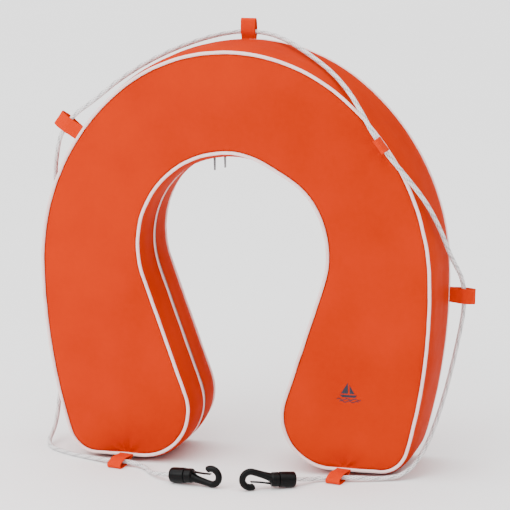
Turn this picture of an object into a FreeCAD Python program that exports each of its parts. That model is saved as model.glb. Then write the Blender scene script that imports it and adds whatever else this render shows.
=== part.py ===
import FreeCAD, Part
import math
import os

import Sketcher
from FreeCAD import Placement, Rotation, Vector

# Horseshoe lifebuoy standing on its two feet: two foam slabs in a sewn cover with piped seams, a zip round
# the inside wall, seven webbing loops and a grab line that ends in two snap hooks.
# Frame: origin on the floor at the centre of the ring with its loops, +X across, +Y to the rear, +Z up.

doc = FreeCAD.newDocument("horseshoe_lifebuoy")
sheet = doc.addObject("Spreadsheet::Sheet", "dims")

SIZES = [
    # outline of the piped seam, seen from the front, with heights above the underside of its feet
    ("seam_height", 554.6),
    ("top_radius", 239.0),
    ("shoulder_start_x", 148.3),
    ("shoulder_radius", 314.0),
    ("side_start_height", 260.0),
    ("side_radius", 799.0),
    ("corner_radius", 39.4),
    ("foot_centre_x", 133.2),
    ("foot_radius", 67.3),
    ("arch_radius", 131.2),
    ("arch_centre_height", 290.9),
    # the wall swells beyond the seam, and more under the feet than elsewhere
    ("wall_swell", 5.0),
    ("seam_clearance", 10.0),
    # depth, cover and foam
    ("mid_plane_y", 14.0),
    ("body_depth", 113.0),
    ("shoulder_chamfer", 5.0),
    ("cover_thickness", 1.2),
    ("cover_gap", 0.1),
    ("foam_inset", 3.0),
    ("foam_gap", 1.0),
    ("piping_radius", 2.2),
    ("zip_piping_radius", 1.2),
    ("zip_piping_offset", 7.4),
    ("zip_piping_end_height", 14.0),
    # zip
    ("zip_slot_half", 6.0),
    ("zip_end_height", 44.0),
    ("zip_tape_width", 13.0),
    ("zip_tape_inset", 1.3),
    ("zip_tape_thickness", 0.8),
    ("zip_teeth_width", 2.4),
    ("zip_teeth_rise", 0.85),
    ("zip_teeth_gap", 0.15),
    ("zip_stop_length", 8.0),
    ("zip_stop_half", 3.4),
    ("zip_groove_depth", 8.0),
    ("zip_groove_half", 15.0),
    # zip sliders and pulls
    ("slider_length", 12.0),
    ("slider_half_width", 4.4),
    ("slider_clearance", 0.35),
    ("slider_plate", 1.3),
    ("slider_flange", 1.1),
    ("crown_half_length", 4.2),
    ("crown_rise", 4.0),
    ("crown_half_width", 1.1),
    ("crown_bar", 1.1),
    ("pull_bar_half", 0.7),
    ("pull_length", 20.5),
    ("pull_top_half_width", 2.9),
    ("pull_tip_half_width", 1.9),
    ("pull_window_half", 1.7),
    ("pull_window_length", 5.6),
    ("left_slider_lean", 18.6),
    ("right_slider_lean", 11.5),
    # webbing loops
    ("webbing_width", 20.5),
    ("loop_seam_gap", 1.0),
    ("webbing_thickness", 1.5),
    ("loop_length", 34.0),
    ("loop_rope_station", 18.0),
    ("top_loop_length", 27.0),
    ("top_loop_rope_station", 8.5),
    ("top_loop_x", -5.5),
    ("upper_loop_angle", 36.0),
    ("upper_right_lift", 8.0),
    ("middle_loop_height", 228.0),
    ("bottom_left_loop_x", -155.0),
    ("bottom_right_loop_x", 150.5),
    ("bottom_loop_droop", 11.5),
    ("bottom_loop_lean", 10.5),
    ("loop_rope_half", 5.9),
    ("loop_tip_half", 3.8),
    ("loop_base_half", 1.7),
    # grab line
    ("rope_radius", 3.0),
    # snap hooks
    ("sleeve_length", 22.0),
    ("sleeve_radius", 10.2),
    ("sleeve_mouth_radius", 3.4),
    ("sleeve_bore_depth", 14.0),
    ("sleeve_round", 2.0),
    ("neck_length", 11.0),
    ("neck_radius", 9.7),
    ("hook_length", 76.0),
    ("hook_section_radius", 4.5),
    ("hook_ring_radius", 10.6),
    ("hook_lip_angle", 128.0),
    ("gate_half_thickness", 0.9),
    ("gate_half_width", 2.6),
    ("gate_clearance", 0.6),
    ("gate_rise", 5.6),
    ("gate_length", 27.0),
    ("gate_fall", 2.4),
    ("hook_ring_height", 15.5),
    ("spine_root", 6.0),
    ("spine_drop", 3.2),
    ("spine_root_radius", 6.1),
    ("spine_taper_length", 22.0),
    ("spine_taper_fall", 5.1),
]
for row, (alias, value) in enumerate(SIZES, start=1):
    sheet.set(f"A{row}", alias)
    sheet.set(f"B{row}", str(value))
    sheet.setAlias(f"B{row}", alias)
doc.recompute()


def size(alias):
    """A driving dimension, as a plain number in millimetres or degrees."""
    return float(sheet.get(alias))


PARTS = []


def part(feature, label):
    """Names a finished sub-part and lists it for export."""
    feature.Label = label
    PARTS.append(feature)
    return feature


# ---------------------------------------------------------------- outline of the wall

FRONT_VIEW = Rotation(Vector(1, 0, 0), 90)
START, END, CENTRE = 1, 2, 3
ORIGIN, ACROSS_AXIS, UP_AXIS = -1, -1, -2


def polar(centre, radius, angle):
    """The point at an angle in degrees, counted from +X towards +Z of the front view."""
    turn = math.radians(angle)
    return centre + Vector(math.cos(turn), math.sin(turn), 0) * radius


def arc(centre, radius, first, last):
    """Arc from the first angle to the last, counterclockwise, in degrees."""
    circle = Part.Circle(centre, Vector(0, 0, 1), radius)
    return Part.ArcOfCircle(circle, math.radians(first), math.radians(last))


def draw_outline(name, swell, sole):
    """The closed horseshoe, grown from the seam by one size, its soles raised to another: tangent arcs from
    the top round the shoulder, the leg and the foot to the inner arch."""
    grow = size(swell) if swell else 0.0
    lift = size("seam_clearance") - (size(sole) if sole else 0.0)
    plus = f" + dims.{swell}" if swell else ""
    minus = f" - dims.{swell}" if swell else ""
    raised = " + dims.seam_clearance" + (f" - dims.{sole}" if sole else "")
    top_r, shoulder_r, side_r, corner_r, foot_r = (
        size(f"{place}_radius") + grow for place in ("top", "shoulder", "side", "corner", "foot"))
    arch_r = size("arch_radius") - grow
    foot_x = size("foot_centre_x")
    top_c = Vector(0, size("seam_height") - size("top_radius") + lift, 0)
    joint_x = size("shoulder_start_x") * top_r / size("top_radius")
    first = 90 - math.degrees(math.asin(joint_x / top_r))
    shoulder_c = polar(top_c, top_r - shoulder_r, first)
    joint_z = size("side_start_height") + lift
    second = math.degrees(math.asin((joint_z - shoulder_c.y) / shoulder_r))
    side_c = polar(shoulder_c, shoulder_r - side_r, second)
    third = math.degrees(math.asin((corner_r - side_c.y) / (side_r - corner_r)))
    corner_c = polar(side_c, side_r - corner_r, third)
    foot_c = Vector(foot_x, foot_r, 0)
    arch_c = Vector(0, size("arch_centre_height") + lift, 0)
    across = foot_c - arch_c
    lean = math.degrees(math.atan2(across.y, across.x) + math.acos((arch_r + foot_r) / across.Length))

    sketch = doc.addObject("Sketcher::SketchObject", name)
    sketch.Placement = Placement(Vector(0, 0, 0), FRONT_VIEW)
    sketch.setExpression("Placement.Base.y", "dims.mid_plane_y")
    sketch.setExpression("Placement.Base.z", f"dims.{sole}" if sole else "0")

    def mirrored(point):
        return Vector(-point.x, point.y, 0)

    right = [
        arc(shoulder_c, shoulder_r, second, first),
        arc(side_c, side_r, third, second),
        arc(corner_c, corner_r, -90, third),
        Part.LineSegment(polar(corner_c, corner_r, -90), polar(foot_c, foot_r, -90)),
        arc(foot_c, foot_r, lean + 180, 270),
        Part.LineSegment(polar(foot_c, foot_r, lean + 180), polar(arch_c, arch_r, lean)),
    ]
    left = [
        arc(mirrored(shoulder_c), shoulder_r, 180 - first, 180 - second),
        arc(mirrored(side_c), side_r, 180 - second, 180 - third),
        arc(mirrored(corner_c), corner_r, 180 - third, 270),
        Part.LineSegment(mirrored(polar(corner_c, corner_r, -90)), mirrored(polar(foot_c, foot_r, -90))),
        arc(mirrored(foot_c), foot_r, -90, -lean),
        Part.LineSegment(mirrored(polar(foot_c, foot_r, lean + 180)), mirrored(polar(arch_c, arch_r, lean))),
    ]
    sketch.addGeometry([arc(top_c, top_r, first, 180 - first)] + right + left
                       + [arc(arch_c, arch_r, lean, 180 - lean)], False)
    top, arch = 0, 13
    right_shoulder, right_side, right_corner, right_sole, right_foot, right_flank = range(1, 7)
    left_shoulder, left_side, left_corner, left_sole, left_foot, left_flank = range(7, 13)
    joints = [
        (top, START, right_shoulder, END), (right_shoulder, START, right_side, END),
        (right_side, START, right_corner, END), (right_corner, START, right_sole, START),
        (right_sole, END, right_foot, END), (right_foot, START, right_flank, START),
        (right_flank, END, arch, START),
        (top, END, left_shoulder, START), (left_shoulder, END, left_side, START),
        (left_side, END, left_corner, START), (left_corner, END, left_sole, START),
        (left_sole, END, left_foot, START), (left_foot, END, left_flank, START),
        (left_flank, END, arch, END),
    ]
    for joint in joints:
        sketch.addConstraint(Sketcher.Constraint("Tangent", *joint))
    pairs = [
        (right_shoulder, left_shoulder), (right_side, left_side),
        (right_corner, left_corner), (right_foot, left_foot),
    ]
    for right_arc, left_arc in pairs:
        sketch.addConstraint(Sketcher.Constraint("Equal", right_arc, left_arc))
    for curve in (top, arch):
        sketch.addConstraint(Sketcher.Constraint("PointOnObject", curve, CENTRE, UP_AXIS))
    for sole in (right_sole, left_sole):
        sketch.addConstraint(Sketcher.Constraint("PointOnObject", sole, START, ACROSS_AXIS))
        sketch.addConstraint(Sketcher.Constraint("Horizontal", sole))
    joint_across = f"dims.shoulder_start_x * (dims.top_radius{plus}) / dims.top_radius"
    joint_up = f"dims.side_start_height{raised}"
    driven = [
        ("Radius", (top,), top_r, f"dims.top_radius{plus}"),
        ("Radius", (right_shoulder,), shoulder_r, f"dims.shoulder_radius{plus}"),
        ("Radius", (right_side,), side_r, f"dims.side_radius{plus}"),
        ("Radius", (right_corner,), corner_r, f"dims.corner_radius{plus}"),
        ("Radius", (right_foot,), foot_r, f"dims.foot_radius{plus}"),
        ("Radius", (arch,), arch_r, f"dims.arch_radius{minus}"),
        ("DistanceY", (ORIGIN, START, top, CENTRE), top_c.y, f"dims.seam_height - dims.top_radius{raised}"),
        ("DistanceY", (ORIGIN, START, arch, CENTRE), arch_c.y, f"dims.arch_centre_height{raised}"),
        ("DistanceX", (ORIGIN, START, right_foot, CENTRE), foot_x, "dims.foot_centre_x"),
        ("DistanceX", (left_foot, CENTRE, ORIGIN, START), foot_x, "dims.foot_centre_x"),
        ("DistanceX", (ORIGIN, START, top, START), joint_x, joint_across),
        ("DistanceX", (top, END, ORIGIN, START), joint_x, joint_across),
        ("DistanceY", (ORIGIN, START, right_side, END), joint_z, joint_up),
        ("DistanceY", (ORIGIN, START, left_side, START), joint_z, joint_up),
    ]
    for kind, places, value, expression in driven:
        index = sketch.addConstraint(Sketcher.Constraint(kind, *places, value))
        sketch.setExpression(f"Constraints[{index}]", expression)
    return sketch


wall_outline = draw_outline("wall_outline", "wall_swell", None)
seam_outline = draw_outline("seam_outline", None, "seam_clearance")
doc.recompute()


# ---------------------------------------------------------------- layers, bands and boxes

HALF_DEPTH = "dims.body_depth / 2"
FAR = "dims.body_depth"


def inset(name, source, distance):
    """The source outline moved into the body by a distance."""
    moved = doc.addObject("Part::Offset2D", name)
    moved.Source = source
    moved.setExpression("Value", f"-({distance})")
    return moved


def layer(name, source, low, high):
    """Solid inside an outline, between two depths counted to the rear from the mid-plane."""
    block = doc.addObject("Part::Extrusion", name)
    block.Base = source
    block.DirMode = "Custom"
    block.Dir = Vector(0, 1, 0)
    block.Solid = True
    block.setExpression("LengthFwd", high)
    block.setExpression("LengthRev", f"-({low})")
    return block


def boolean(kind, name, base, tool):
    """Part::Cut or Part::Common of two objects."""
    result = doc.addObject(f"Part::{kind}", name)
    result.Base = base
    result.Tool = tool
    return result


def band(name, shallow, deep, low, high):
    """Strip of the wall between two insets from its outline and between two depths."""
    outer = layer(f"{name}_outer", inset(f"{name}_outer_line", wall_outline, shallow), low, high)
    inner = layer(f"{name}_inner", inset(f"{name}_inner_line", wall_outline, deep), low, high)
    return boolean("Cut", f"{name}_band", outer, inner)


def box(name, corner, sides):
    """Box whose low corner and sides are expressions; y is counted from the mid-plane."""
    block = doc.addObject("Part::Box", name)
    across, depth, height = corner
    block.setExpression("Placement.Base.x", across)
    block.setExpression("Placement.Base.y", f"dims.mid_plane_y + ({depth})")
    block.setExpression("Placement.Base.z", height)
    for side, expression in zip(("Length", "Width", "Height"), sides):
        block.setExpression(side, expression)
    return block


def inner_region(name, floor):
    """Box round the inner wall only, from a height to above the arch."""
    ceiling = "dims.arch_centre_height + dims.arch_radius + 4 * dims.seam_clearance"
    return box(name, ("-dims.foot_centre_x", f"-{FAR}", floor),
               ("2 * dims.foot_centre_x", f"2 * {FAR}", f"{ceiling} - ({floor})"))


def round_shoulders(name, solid, chamfer):
    """Chamfers the long edges round the front and rear faces of a layer."""
    doc.recompute()
    eased = doc.addObject("Part::Chamfer", name)
    eased.Base = solid
    eased.Edges = [
        (number, chamfer, chamfer) for number, edge in enumerate(solid.Shape.Edges, start=1)
        if abs(edge.Vertexes[0].Point.y - edge.Vertexes[-1].Point.y) < 1e-6]
    return eased


# ---------------------------------------------------------------- cover

CHAMFER = size("shoulder_chamfer")
COVER = "dims.cover_thickness"

swollen = round_shoulders("cover_form", layer("cover_block", wall_outline, f"-{HALF_DEPTH}", HALF_DEPTH), CHAMFER)
core = round_shoulders("core_form", layer("core_block", inset("core_line", wall_outline, COVER),
                                          f"-{HALF_DEPTH} + {COVER}", f"{HALF_DEPTH} - {COVER}"), CHAMFER)
shell = boolean("Cut", "cover_shell", swollen, core)
face_line = inset("face_line", wall_outline, "dims.shoulder_chamfer + dims.cover_gap")
front_face = layer("front_face", face_line, f"-{HALF_DEPTH} - 1", f"-{HALF_DEPTH} + {COVER} + 1")
rear_face = layer("rear_face", face_line, f"{HALF_DEPTH} - {COVER} - 1", f"{HALF_DEPTH} + 1")
wall = boolean("Cut", "cover_wall", boolean("Cut", "cover_wall_rear", shell, front_face), rear_face)

panel_line = inset("panel_line", wall_outline, "dims.shoulder_chamfer + 2 * dims.cover_gap")
part(layer("front_panel", panel_line, f"-{HALF_DEPTH}", f"-{HALF_DEPTH} + {COVER}"), "front_panel")
part(layer("rear_panel", panel_line, f"{HALF_DEPTH} - {COVER}", HALF_DEPTH), "rear_panel")

part(boolean("Cut", "outer_gusset", wall, inner_region("inner_side", "-dims.seam_clearance")), "outer_gusset")
zip_slot = inner_region("zip_slot", "dims.zip_end_height")
zip_slot.setExpression("Placement.Base.y", "dims.mid_plane_y - dims.zip_slot_half")
zip_slot.setExpression("Width", "2 * dims.zip_slot_half")
inner_wall = boolean("Common", "inner_wall", wall, inner_region("inner_side_again", "-dims.seam_clearance"))
part(boolean("Cut", "inner_gusset", inner_wall, zip_slot), "inner_gusset")


def piping(name, outline, offset, radius):
    """Round bead along an outline, at a depth counted to the rear from the mid-plane."""
    doc.recompute()
    start = outline.Shape.Edges[0]
    bead = doc.addObject("Part::Circle", f"{name}_bead")
    bead.Placement = Placement(start.valueAt(start.FirstParameter),
                               Rotation(Vector(0, 0, 1), start.tangentAt(start.FirstParameter)))
    bead.setExpression("Radius", radius)
    sweep = doc.addObject("Part::Sweep", f"{name}_sweep")
    sweep.Sections = [bead]
    sweep.Spine = (outline, [f"Edge{number + 1}" for number in range(len(outline.Shape.Edges))])
    sweep.Solid = True
    sweep.setExpression("Placement.Base.y", offset)
    return sweep


part(piping("front", seam_outline, f"-({HALF_DEPTH} + dims.piping_radius)", "dims.piping_radius"), "front_piping")
part(piping("rear", seam_outline, f"{HALF_DEPTH} + dims.piping_radius", "dims.piping_radius"), "rear_piping")

# a thinner bead lies on the inner wall, just in front of the zip
zip_seam = inset("zip_seam", wall_outline, "-dims.zip_piping_radius - dims.cover_gap")
zip_bead = piping("zip", zip_seam, "-dims.zip_piping_offset", "dims.zip_piping_radius")
part(boolean("Common", "zip_piping", zip_bead, inner_region("zip_piping_region", "dims.zip_piping_end_height")),
     "zip_piping")

# ---------------------------------------------------------------- foam

groove = boolean("Common", "zip_groove",
                 band("groove", "-1", "dims.zip_groove_depth", "-dims.zip_groove_half", "dims.zip_groove_half"),
                 inner_region("groove_region", "dims.zip_end_height - dims.zip_stop_length"))
foam_line = inset("foam_line", wall_outline, "dims.foam_inset")
foam_block = layer("foam_block", foam_line, f"-{HALF_DEPTH} + 2 * {COVER}", f"{HALF_DEPTH} - 2 * {COVER}")
foam = boolean("Cut", "foam_core", round_shoulders("foam_form", foam_block, CHAMFER), groove)
for name, low in (("foam_slab_front", f"-{FAR}"), ("foam_slab_rear", "dims.foam_gap / 2")):
    half = box(f"{name}_half", (f"-{FAR} * 3", low, f"-{FAR}"),
               (f"{FAR} * 6", f"{FAR} - dims.foam_gap / 2", f"{FAR} * 7"))
    part(boolean("Common", name, foam, half), name)

# ---------------------------------------------------------------- zip

TAPE_DEEP = "dims.zip_tape_inset + dims.zip_tape_thickness"
STOP_TOP = "dims.zip_end_height + dims.zip_stop_length"
for side, tape_low, teeth_low in (("front", "-dims.zip_tape_width - dims.zip_teeth_gap",
                                   "-dims.zip_teeth_width - dims.zip_teeth_gap"),
                                  ("rear", "dims.zip_teeth_gap", "dims.zip_teeth_gap")):
    name = f"zip_tape_{side}"
    strip = band(name, "dims.zip_tape_inset", TAPE_DEEP, tape_low, f"{tape_low} + dims.zip_tape_width")
    part(boolean("Common", name, strip, inner_region(f"{name}_region", "dims.zip_end_height")), name)
    name = f"zip_teeth_{side}"
    strip = band(name, "-dims.zip_teeth_rise", "dims.zip_tape_inset", teeth_low,
                 f"{teeth_low} + dims.zip_teeth_width")
    part(boolean("Common", name, strip, inner_region(f"{name}_region", STOP_TOP)), name)

stop_band = band("zip_stop", "-dims.zip_teeth_rise", "dims.zip_tape_inset", "-dims.zip_stop_half",
                 "dims.zip_stop_half")
for side, across in (("left", "-dims.foot_centre_x"), ("right", "0")):
    name = f"zip_stop_{side}"
    window = box(f"{name}_window", (across, "-dims.zip_slot_half", "dims.zip_end_height"),
                 ("dims.foot_centre_x", "2 * dims.zip_slot_half", "dims.zip_stop_length"))
    part(boolean("Common", name, stop_band, window), name)

# ---------------------------------------------------------------- drawing in a body


def measure(expression):
    """Value of an expression in the sheet's words."""
    return float(sheet.evalExpression(expression.replace("dims.", "")))


def new_body(label):
    """A PartDesign body that is one sub-part."""
    return part(doc.addObject("PartDesign::Body", label), label)


def sketch_on(body, role, name):
    """Sketch on one of the body's own planes, found by its role."""
    plane = next(feature for feature in body.Origin.OriginFeatures if feature.Role == role)
    sketch = body.newObject("Sketcher::SketchObject", name)
    sketch.AttachmentSupport = [(plane, "")]
    sketch.MapMode = "FlatFace"
    return sketch


def hold(sketch, corner, point, expressions):
    """Holds a point of the sketch across and up from its origin by two expressions."""
    axes = (UP_AXIS, ACROSS_AXIS)
    for kind, axis, value, expression in zip(("DistanceX", "DistanceY"), axes, (point.x, point.y), expressions):
        if expression == "0":
            sketch.addConstraint(Sketcher.Constraint("PointOnObject", *corner, axis))
            continue
        places = (ORIGIN, START, *corner) if value > 0 else (*corner, ORIGIN, START)
        index = sketch.addConstraint(Sketcher.Constraint(kind, *places, abs(value)))
        sketch.setExpression(f"Constraints[{index}]", expression if value > 0 else f"-({expression})")


def polygon(sketch, corners):
    """Closed chain of lines whose corners are pairs of expressions."""
    first = sketch.GeometryCount
    points = [Vector(measure(across), measure(up), 0) for across, up in corners]
    count = len(points)
    for number, point in enumerate(points):
        sketch.addGeometry(Part.LineSegment(point, points[(number + 1) % count]), False)
    for number, point in enumerate(points):
        following = first + (number + 1) % count
        sketch.addConstraint(Sketcher.Constraint("Coincident", first + number, END, following, START))
        hold(sketch, (first + number, START), point, corners[number])


def pad(body, sketch, name, length):
    """Pads a sketch by the same amount to both sides of its plane."""
    doc.recompute()
    feature = body.newObject("PartDesign::Pad", name)
    feature.Profile = sketch
    feature.Midplane = True
    feature.setExpression("Length", length)
    return feature


# ---------------------------------------------------------------- zip sliders and pulls

WALL_ARCH = "(dims.arch_radius - dims.wall_swell)"
PLATE_TOP = f"({WALL_ARCH} - dims.zip_teeth_rise - dims.slider_clearance)"
PLATE_FACE = f"({PLATE_TOP} - dims.slider_plate)"
FLANGE_END = f"({WALL_ARCH} + dims.zip_tape_inset - dims.slider_clearance)"
CROWN_TOP = f"({PLATE_FACE} - dims.crown_rise)"
PULL_AXIS = f"({PLATE_FACE} - (dims.crown_rise - dims.crown_bar) / 2)"
ARCH_AXIS_HEIGHT = "dims.arch_centre_height + dims.seam_clearance"


def zip_slider(side):
    """Channel over the zip's teeth with a crown for the pull, turned about the arch's axis."""
    body = new_body(f"zip_slider_{side}")
    body.Placement = Placement(Vector(0, 0, 0), Rotation(Vector(0, -1, 0), 10))
    body.setExpression("Placement.Base.y", "dims.mid_plane_y")
    body.setExpression("Placement.Base.z", ARCH_AXIS_HEIGHT)
    body.setExpression("Placement.Rotation.Angle", f"dims.{side}_slider_lean")
    channel = sketch_on(body, "YZ_Plane", f"{body.Name}_channel")
    wide, narrow = "dims.slider_half_width", "(dims.slider_half_width - dims.slider_flange)"
    polygon(channel, [
        (f"-{wide}", PLATE_FACE), (wide, PLATE_FACE), (wide, FLANGE_END), (narrow, FLANGE_END),
        (narrow, PLATE_TOP), (f"-{narrow}", PLATE_TOP), (f"-{narrow}", FLANGE_END), (f"-{wide}", FLANGE_END),
    ])
    doc.recompute()
    turned = body.newObject("PartDesign::Revolution", f"{body.Name}_shell")
    turned.Profile = channel
    turned.ReferenceAxis = (channel, ["H_Axis"])
    turned.Midplane = True
    turned.setExpression("Angle", f"dims.slider_length / {WALL_ARCH} * 180 / pi")
    crown = sketch_on(body, "XZ_Plane", f"{body.Name}_crown")
    outer, inner = "dims.crown_half_length", "(dims.crown_half_length - dims.crown_bar)"
    root = f"({PLATE_FACE} + dims.slider_plate / 3)"
    polygon(crown, [(f"-{outer}", CROWN_TOP), (outer, CROWN_TOP), (outer, root), (f"-{outer}", root)])
    lintel = f"({CROWN_TOP} + dims.crown_bar)"
    polygon(crown, [(f"-{inner}", lintel), (inner, lintel), (inner, PLATE_FACE), (f"-{inner}", PLATE_FACE)])
    pad(body, crown, f"{body.Name}_arch", "2 * dims.crown_half_width")


def zip_pull(side):
    """Flat tab that hangs from a slider's crown by the bar at the head of its window."""
    body = new_body(f"zip_pull_{side}")
    lean = f"dims.{side}_slider_lean"
    body.setExpression("Placement.Base.x", f"-{PULL_AXIS} * sin({lean})")
    body.setExpression("Placement.Base.y", "dims.mid_plane_y")
    body.setExpression("Placement.Base.z", f"{ARCH_AXIS_HEIGHT} + {PULL_AXIS} * cos({lean})")
    tab = sketch_on(body, "YZ_Plane", f"{body.Name}_tab")
    head, tip, bar = "dims.pull_top_half_width", "dims.pull_tip_half_width", "dims.pull_bar_half"
    neck, end = "-dims.pull_window_length * 1.3", "(dims.pull_bar_half - dims.pull_length)"
    polygon(tab, [(f"-{head}", bar), (head, bar), (head, neck), (tip, end), (f"-{tip}", end), (f"-{head}", neck)])
    side_of, sill = "dims.pull_window_half", "-dims.pull_window_length"
    polygon(tab, [(f"-{side_of}", f"-{bar}"), (side_of, f"-{bar}"), (side_of, sill), (f"-{side_of}", sill)])
    pad(body, tab, f"{body.Name}_plate", "2 * dims.pull_bar_half")


for side in ("left", "right"):
    zip_slider(side)
    zip_pull(side)

# ---------------------------------------------------------------- webbing loops


def teardrop(stations):
    """Closed wire round circles on the X axis, flat at the first and round at the last."""
    upper = []
    for (here, radius), (there, next_radius) in zip(stations, stations[1:]):
        lean = (radius - next_radius) / (there - here)
        rise = math.sqrt(1 - lean * lean)
        upper.append((Vector(here + radius * lean, 0, radius * rise),
                      Vector(there + next_radius * lean, 0, next_radius * rise)))

    def below(point):
        return Vector(point.x, 0, -point.z)

    (base, first), (second, tip) = upper
    middle, middle_radius = stations[1]
    end, end_radius = stations[2]
    crest = Vector(middle, 0, middle_radius)
    nose = Vector(end + end_radius, 0, 0)
    edges = [
        Part.LineSegment(base, first), Part.Arc(first, crest, second), Part.LineSegment(second, tip),
        Part.Arc(tip, nose, below(tip)), Part.LineSegment(below(tip), below(second)),
        Part.Arc(below(second), below(crest), below(first)), Part.LineSegment(below(first), below(base)),
        Part.LineSegment(below(base), base),
    ]
    return Part.Wire([edge.toShape() for edge in edges])


def loop_section(name, length, station):
    """Face of a folded webbing's section: base at the origin, tip along +X, the rope's gap between."""
    cloth = size("webbing_thickness")
    outer = [(0.0, size("loop_base_half")), (station, size("loop_rope_half")),
             (length - size("loop_tip_half"), size("loop_tip_half"))]
    inner = [(place, radius - cloth) for place, radius in outer]
    inner[0] = (2 * cloth, inner[0][1])
    section = doc.addObject("Part::Feature", name)
    section.Shape = Part.Face(teardrop(outer)).cut(Part.Face(teardrop(inner)))
    return section


def webbing_loop(label, section, base, out, along):
    """Folded strap from a point of the seam, with the directions it stands out in and it is wide in."""
    strap = doc.addObject("Part::Extrusion", label)
    strap.Base = section
    strap.DirMode = "Custom"
    strap.Dir = Vector(0, 1, 0)
    strap.Solid = True
    strap.setExpression("LengthFwd", "dims.webbing_width / 2")
    strap.setExpression("LengthRev", "dims.webbing_width / 2")
    strap.Placement = Placement(base, Rotation(out, along, out.cross(along), "XYZ"))
    return part(strap, label)


def turned(angle):
    """Unit vector at an angle in degrees from +X towards +Z."""
    return Vector(math.cos(math.radians(angle)), 0, math.sin(math.radians(angle)))


common_section = loop_section("loop_section", size("loop_length"), size("loop_rope_station"))
top_section = loop_section("top_loop_section", size("top_loop_length"), size("top_loop_rope_station"))
bead = size("piping_radius")
seat = bead + size("loop_seam_gap")
front_seam = size("mid_plane_y") - size("body_depth") / 2 - bead
rear_seam = size("mid_plane_y") + size("body_depth") / 2 + bead
top_centre = Vector(0, 0, size("seam_height") - size("top_radius") + size("seam_clearance"))
shoulder_joint = 90 - math.degrees(math.asin(size("shoulder_start_x") / size("top_radius")))
shoulder_centre = top_centre + turned(shoulder_joint) * (size("top_radius") - size("shoulder_radius"))
side_joint = math.degrees(math.asin(
    (size("side_start_height") + size("seam_clearance") - shoulder_centre.z) / size("shoulder_radius")))
side_centre = shoulder_centre + turned(side_joint) * (size("shoulder_radius") - size("side_radius"))
ACROSS, REAR, UP = Vector(1, 0, 0), Vector(0, 1, 0), Vector(0, 0, 1)

webbing_loop("loop_top", top_section,
             Vector(size("top_loop_x"), rear_seam, top_centre.z + size("top_radius") + seat), UP, ACROSS)

outward = turned(size("upper_loop_angle"))
right_base = shoulder_centre + outward * (size("shoulder_radius") + seat) + REAR * front_seam
left_outward = Vector(-outward.x, 0, outward.z)
left_base = Vector(-right_base.x, right_base.y, right_base.z)
webbing_loop("loop_upper_left", common_section, left_base, left_outward, left_outward.cross(REAR))
lift = math.radians(size("upper_right_lift"))
forward = outward * math.sin(lift) - REAR * math.cos(lift)
folded_base = right_base - outward * seat - REAR * seat
webbing_loop("loop_upper_right", common_section, folded_base, forward, outward.cross(REAR))

tilt = math.degrees(math.asin((size("middle_loop_height") - side_centre.z) / size("side_radius")))
for side, sign in (("left", -1), ("right", 1)):
    outward = Vector(sign * turned(tilt).x, 0, turned(tilt).z)
    base = side_centre + turned(tilt) * (size("side_radius") + seat)
    webbing_loop(f"loop_middle_{side}", common_section, Vector(sign * base.x, rear_seam, base.z),
                 outward, outward.cross(REAR))

lean = size("bottom_loop_lean")
leant = Rotation(UP, -lean)
down = leant.multVec(Rotation(ACROSS, size("bottom_loop_droop")).multVec(-REAR))
corner_reach = size("webbing_width") / 2 * math.sin(math.radians(lean))
for side in ("left", "right"):
    foot = Vector(size(f"bottom_{side}_loop_x"), front_seam - seat - corner_reach, size("seam_clearance"))
    webbing_loop(f"loop_bottom_{side}", common_section, foot, down, leant.multVec(ACROSS))

# ---------------------------------------------------------------- snap hooks

HOOKS = {
    "left": {"mouth": Vector(-66.1, -120.8, 10.5), "heading": Vector(0.984, -0.174, 0), "roll": 0},
    "right": {"mouth": Vector(99.4, -101.8, 10.5), "heading": Vector(-0.870, -0.495, 0), "roll": 180},
}


def hook_direction(side):
    """Unit vector from a hook's barrel mouth to its ring, both just clear of the floor."""
    reach = size("hook_length") - size("hook_ring_radius") - size("hook_section_radius")
    rise = size("hook_ring_height") - HOOKS[side]["mouth"].z
    level = HOOKS[side]["heading"]
    level = level / level.Length
    pitch = math.asin(rise / reach)
    return level * math.cos(pitch) + Vector(0, 0, math.sin(pitch))


def hook_placement(side):
    """Barrel mouth at the local origin, ring along local +X, gate on local +Z."""
    forward = hook_direction(side)
    upward = Vector(0, 0, math.cos(math.radians(HOOKS[side]["roll"])))
    sideways = upward.cross(forward)
    return Placement(HOOKS[side]["mouth"], Rotation(forward, sideways, forward.cross(sideways), "XYZ"))


def turn(body, corners, name):
    """Turns a closed outline, drawn along and out from local X, a full circle round local X."""
    sketch = sketch_on(body, "XZ_Plane", f"{name}_outline")
    polygon(sketch, corners)
    doc.recompute()
    solid = body.newObject("PartDesign::Revolution", name)
    solid.Profile = sketch
    solid.ReferenceAxis = (sketch, ["H_Axis"])
    solid.Angle = 360
    return solid


def hook_sleeve(side):
    """Barrel with a blind bore for the rope's end."""
    body = new_body(f"hook_sleeve_{side}")
    body.Placement = hook_placement(side)
    bore, wall, ease = "dims.sleeve_mouth_radius", "dims.sleeve_radius", "dims.sleeve_round"
    end, depth = "dims.sleeve_length", "dims.sleeve_bore_depth"
    turn(body, [
        ("0", bore), ("0", f"({wall} - {ease})"), (ease, wall), (f"({end} - {ease})", wall),
        (end, f"({wall} - {ease})"), (end, "0"), (depth, "0"), (depth, bore),
    ], f"{body.Name}_barrel")


def round_section(body, name, along, drop, radius):
    """Circle across local X, at a distance past the barrel and a drop below its axis."""
    section = sketch_on(body, "YZ_Plane", f"{body.Name}_{name}_section")
    section.setExpression("AttachmentOffset.Base.z", f"dims.sleeve_length + {along}")
    middle = Vector(0, -measure(drop), 0)
    section.addGeometry(Part.Circle(middle, Vector(0, 0, 1), measure(radius)), False)
    hold(section, (0, CENTRE), middle, ("0", f"-{drop}"))
    index = section.addConstraint(Sketcher.Constraint("Radius", 0, measure(radius)))
    section.setExpression(f"Constraints[{index}]", radius)
    return section


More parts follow.
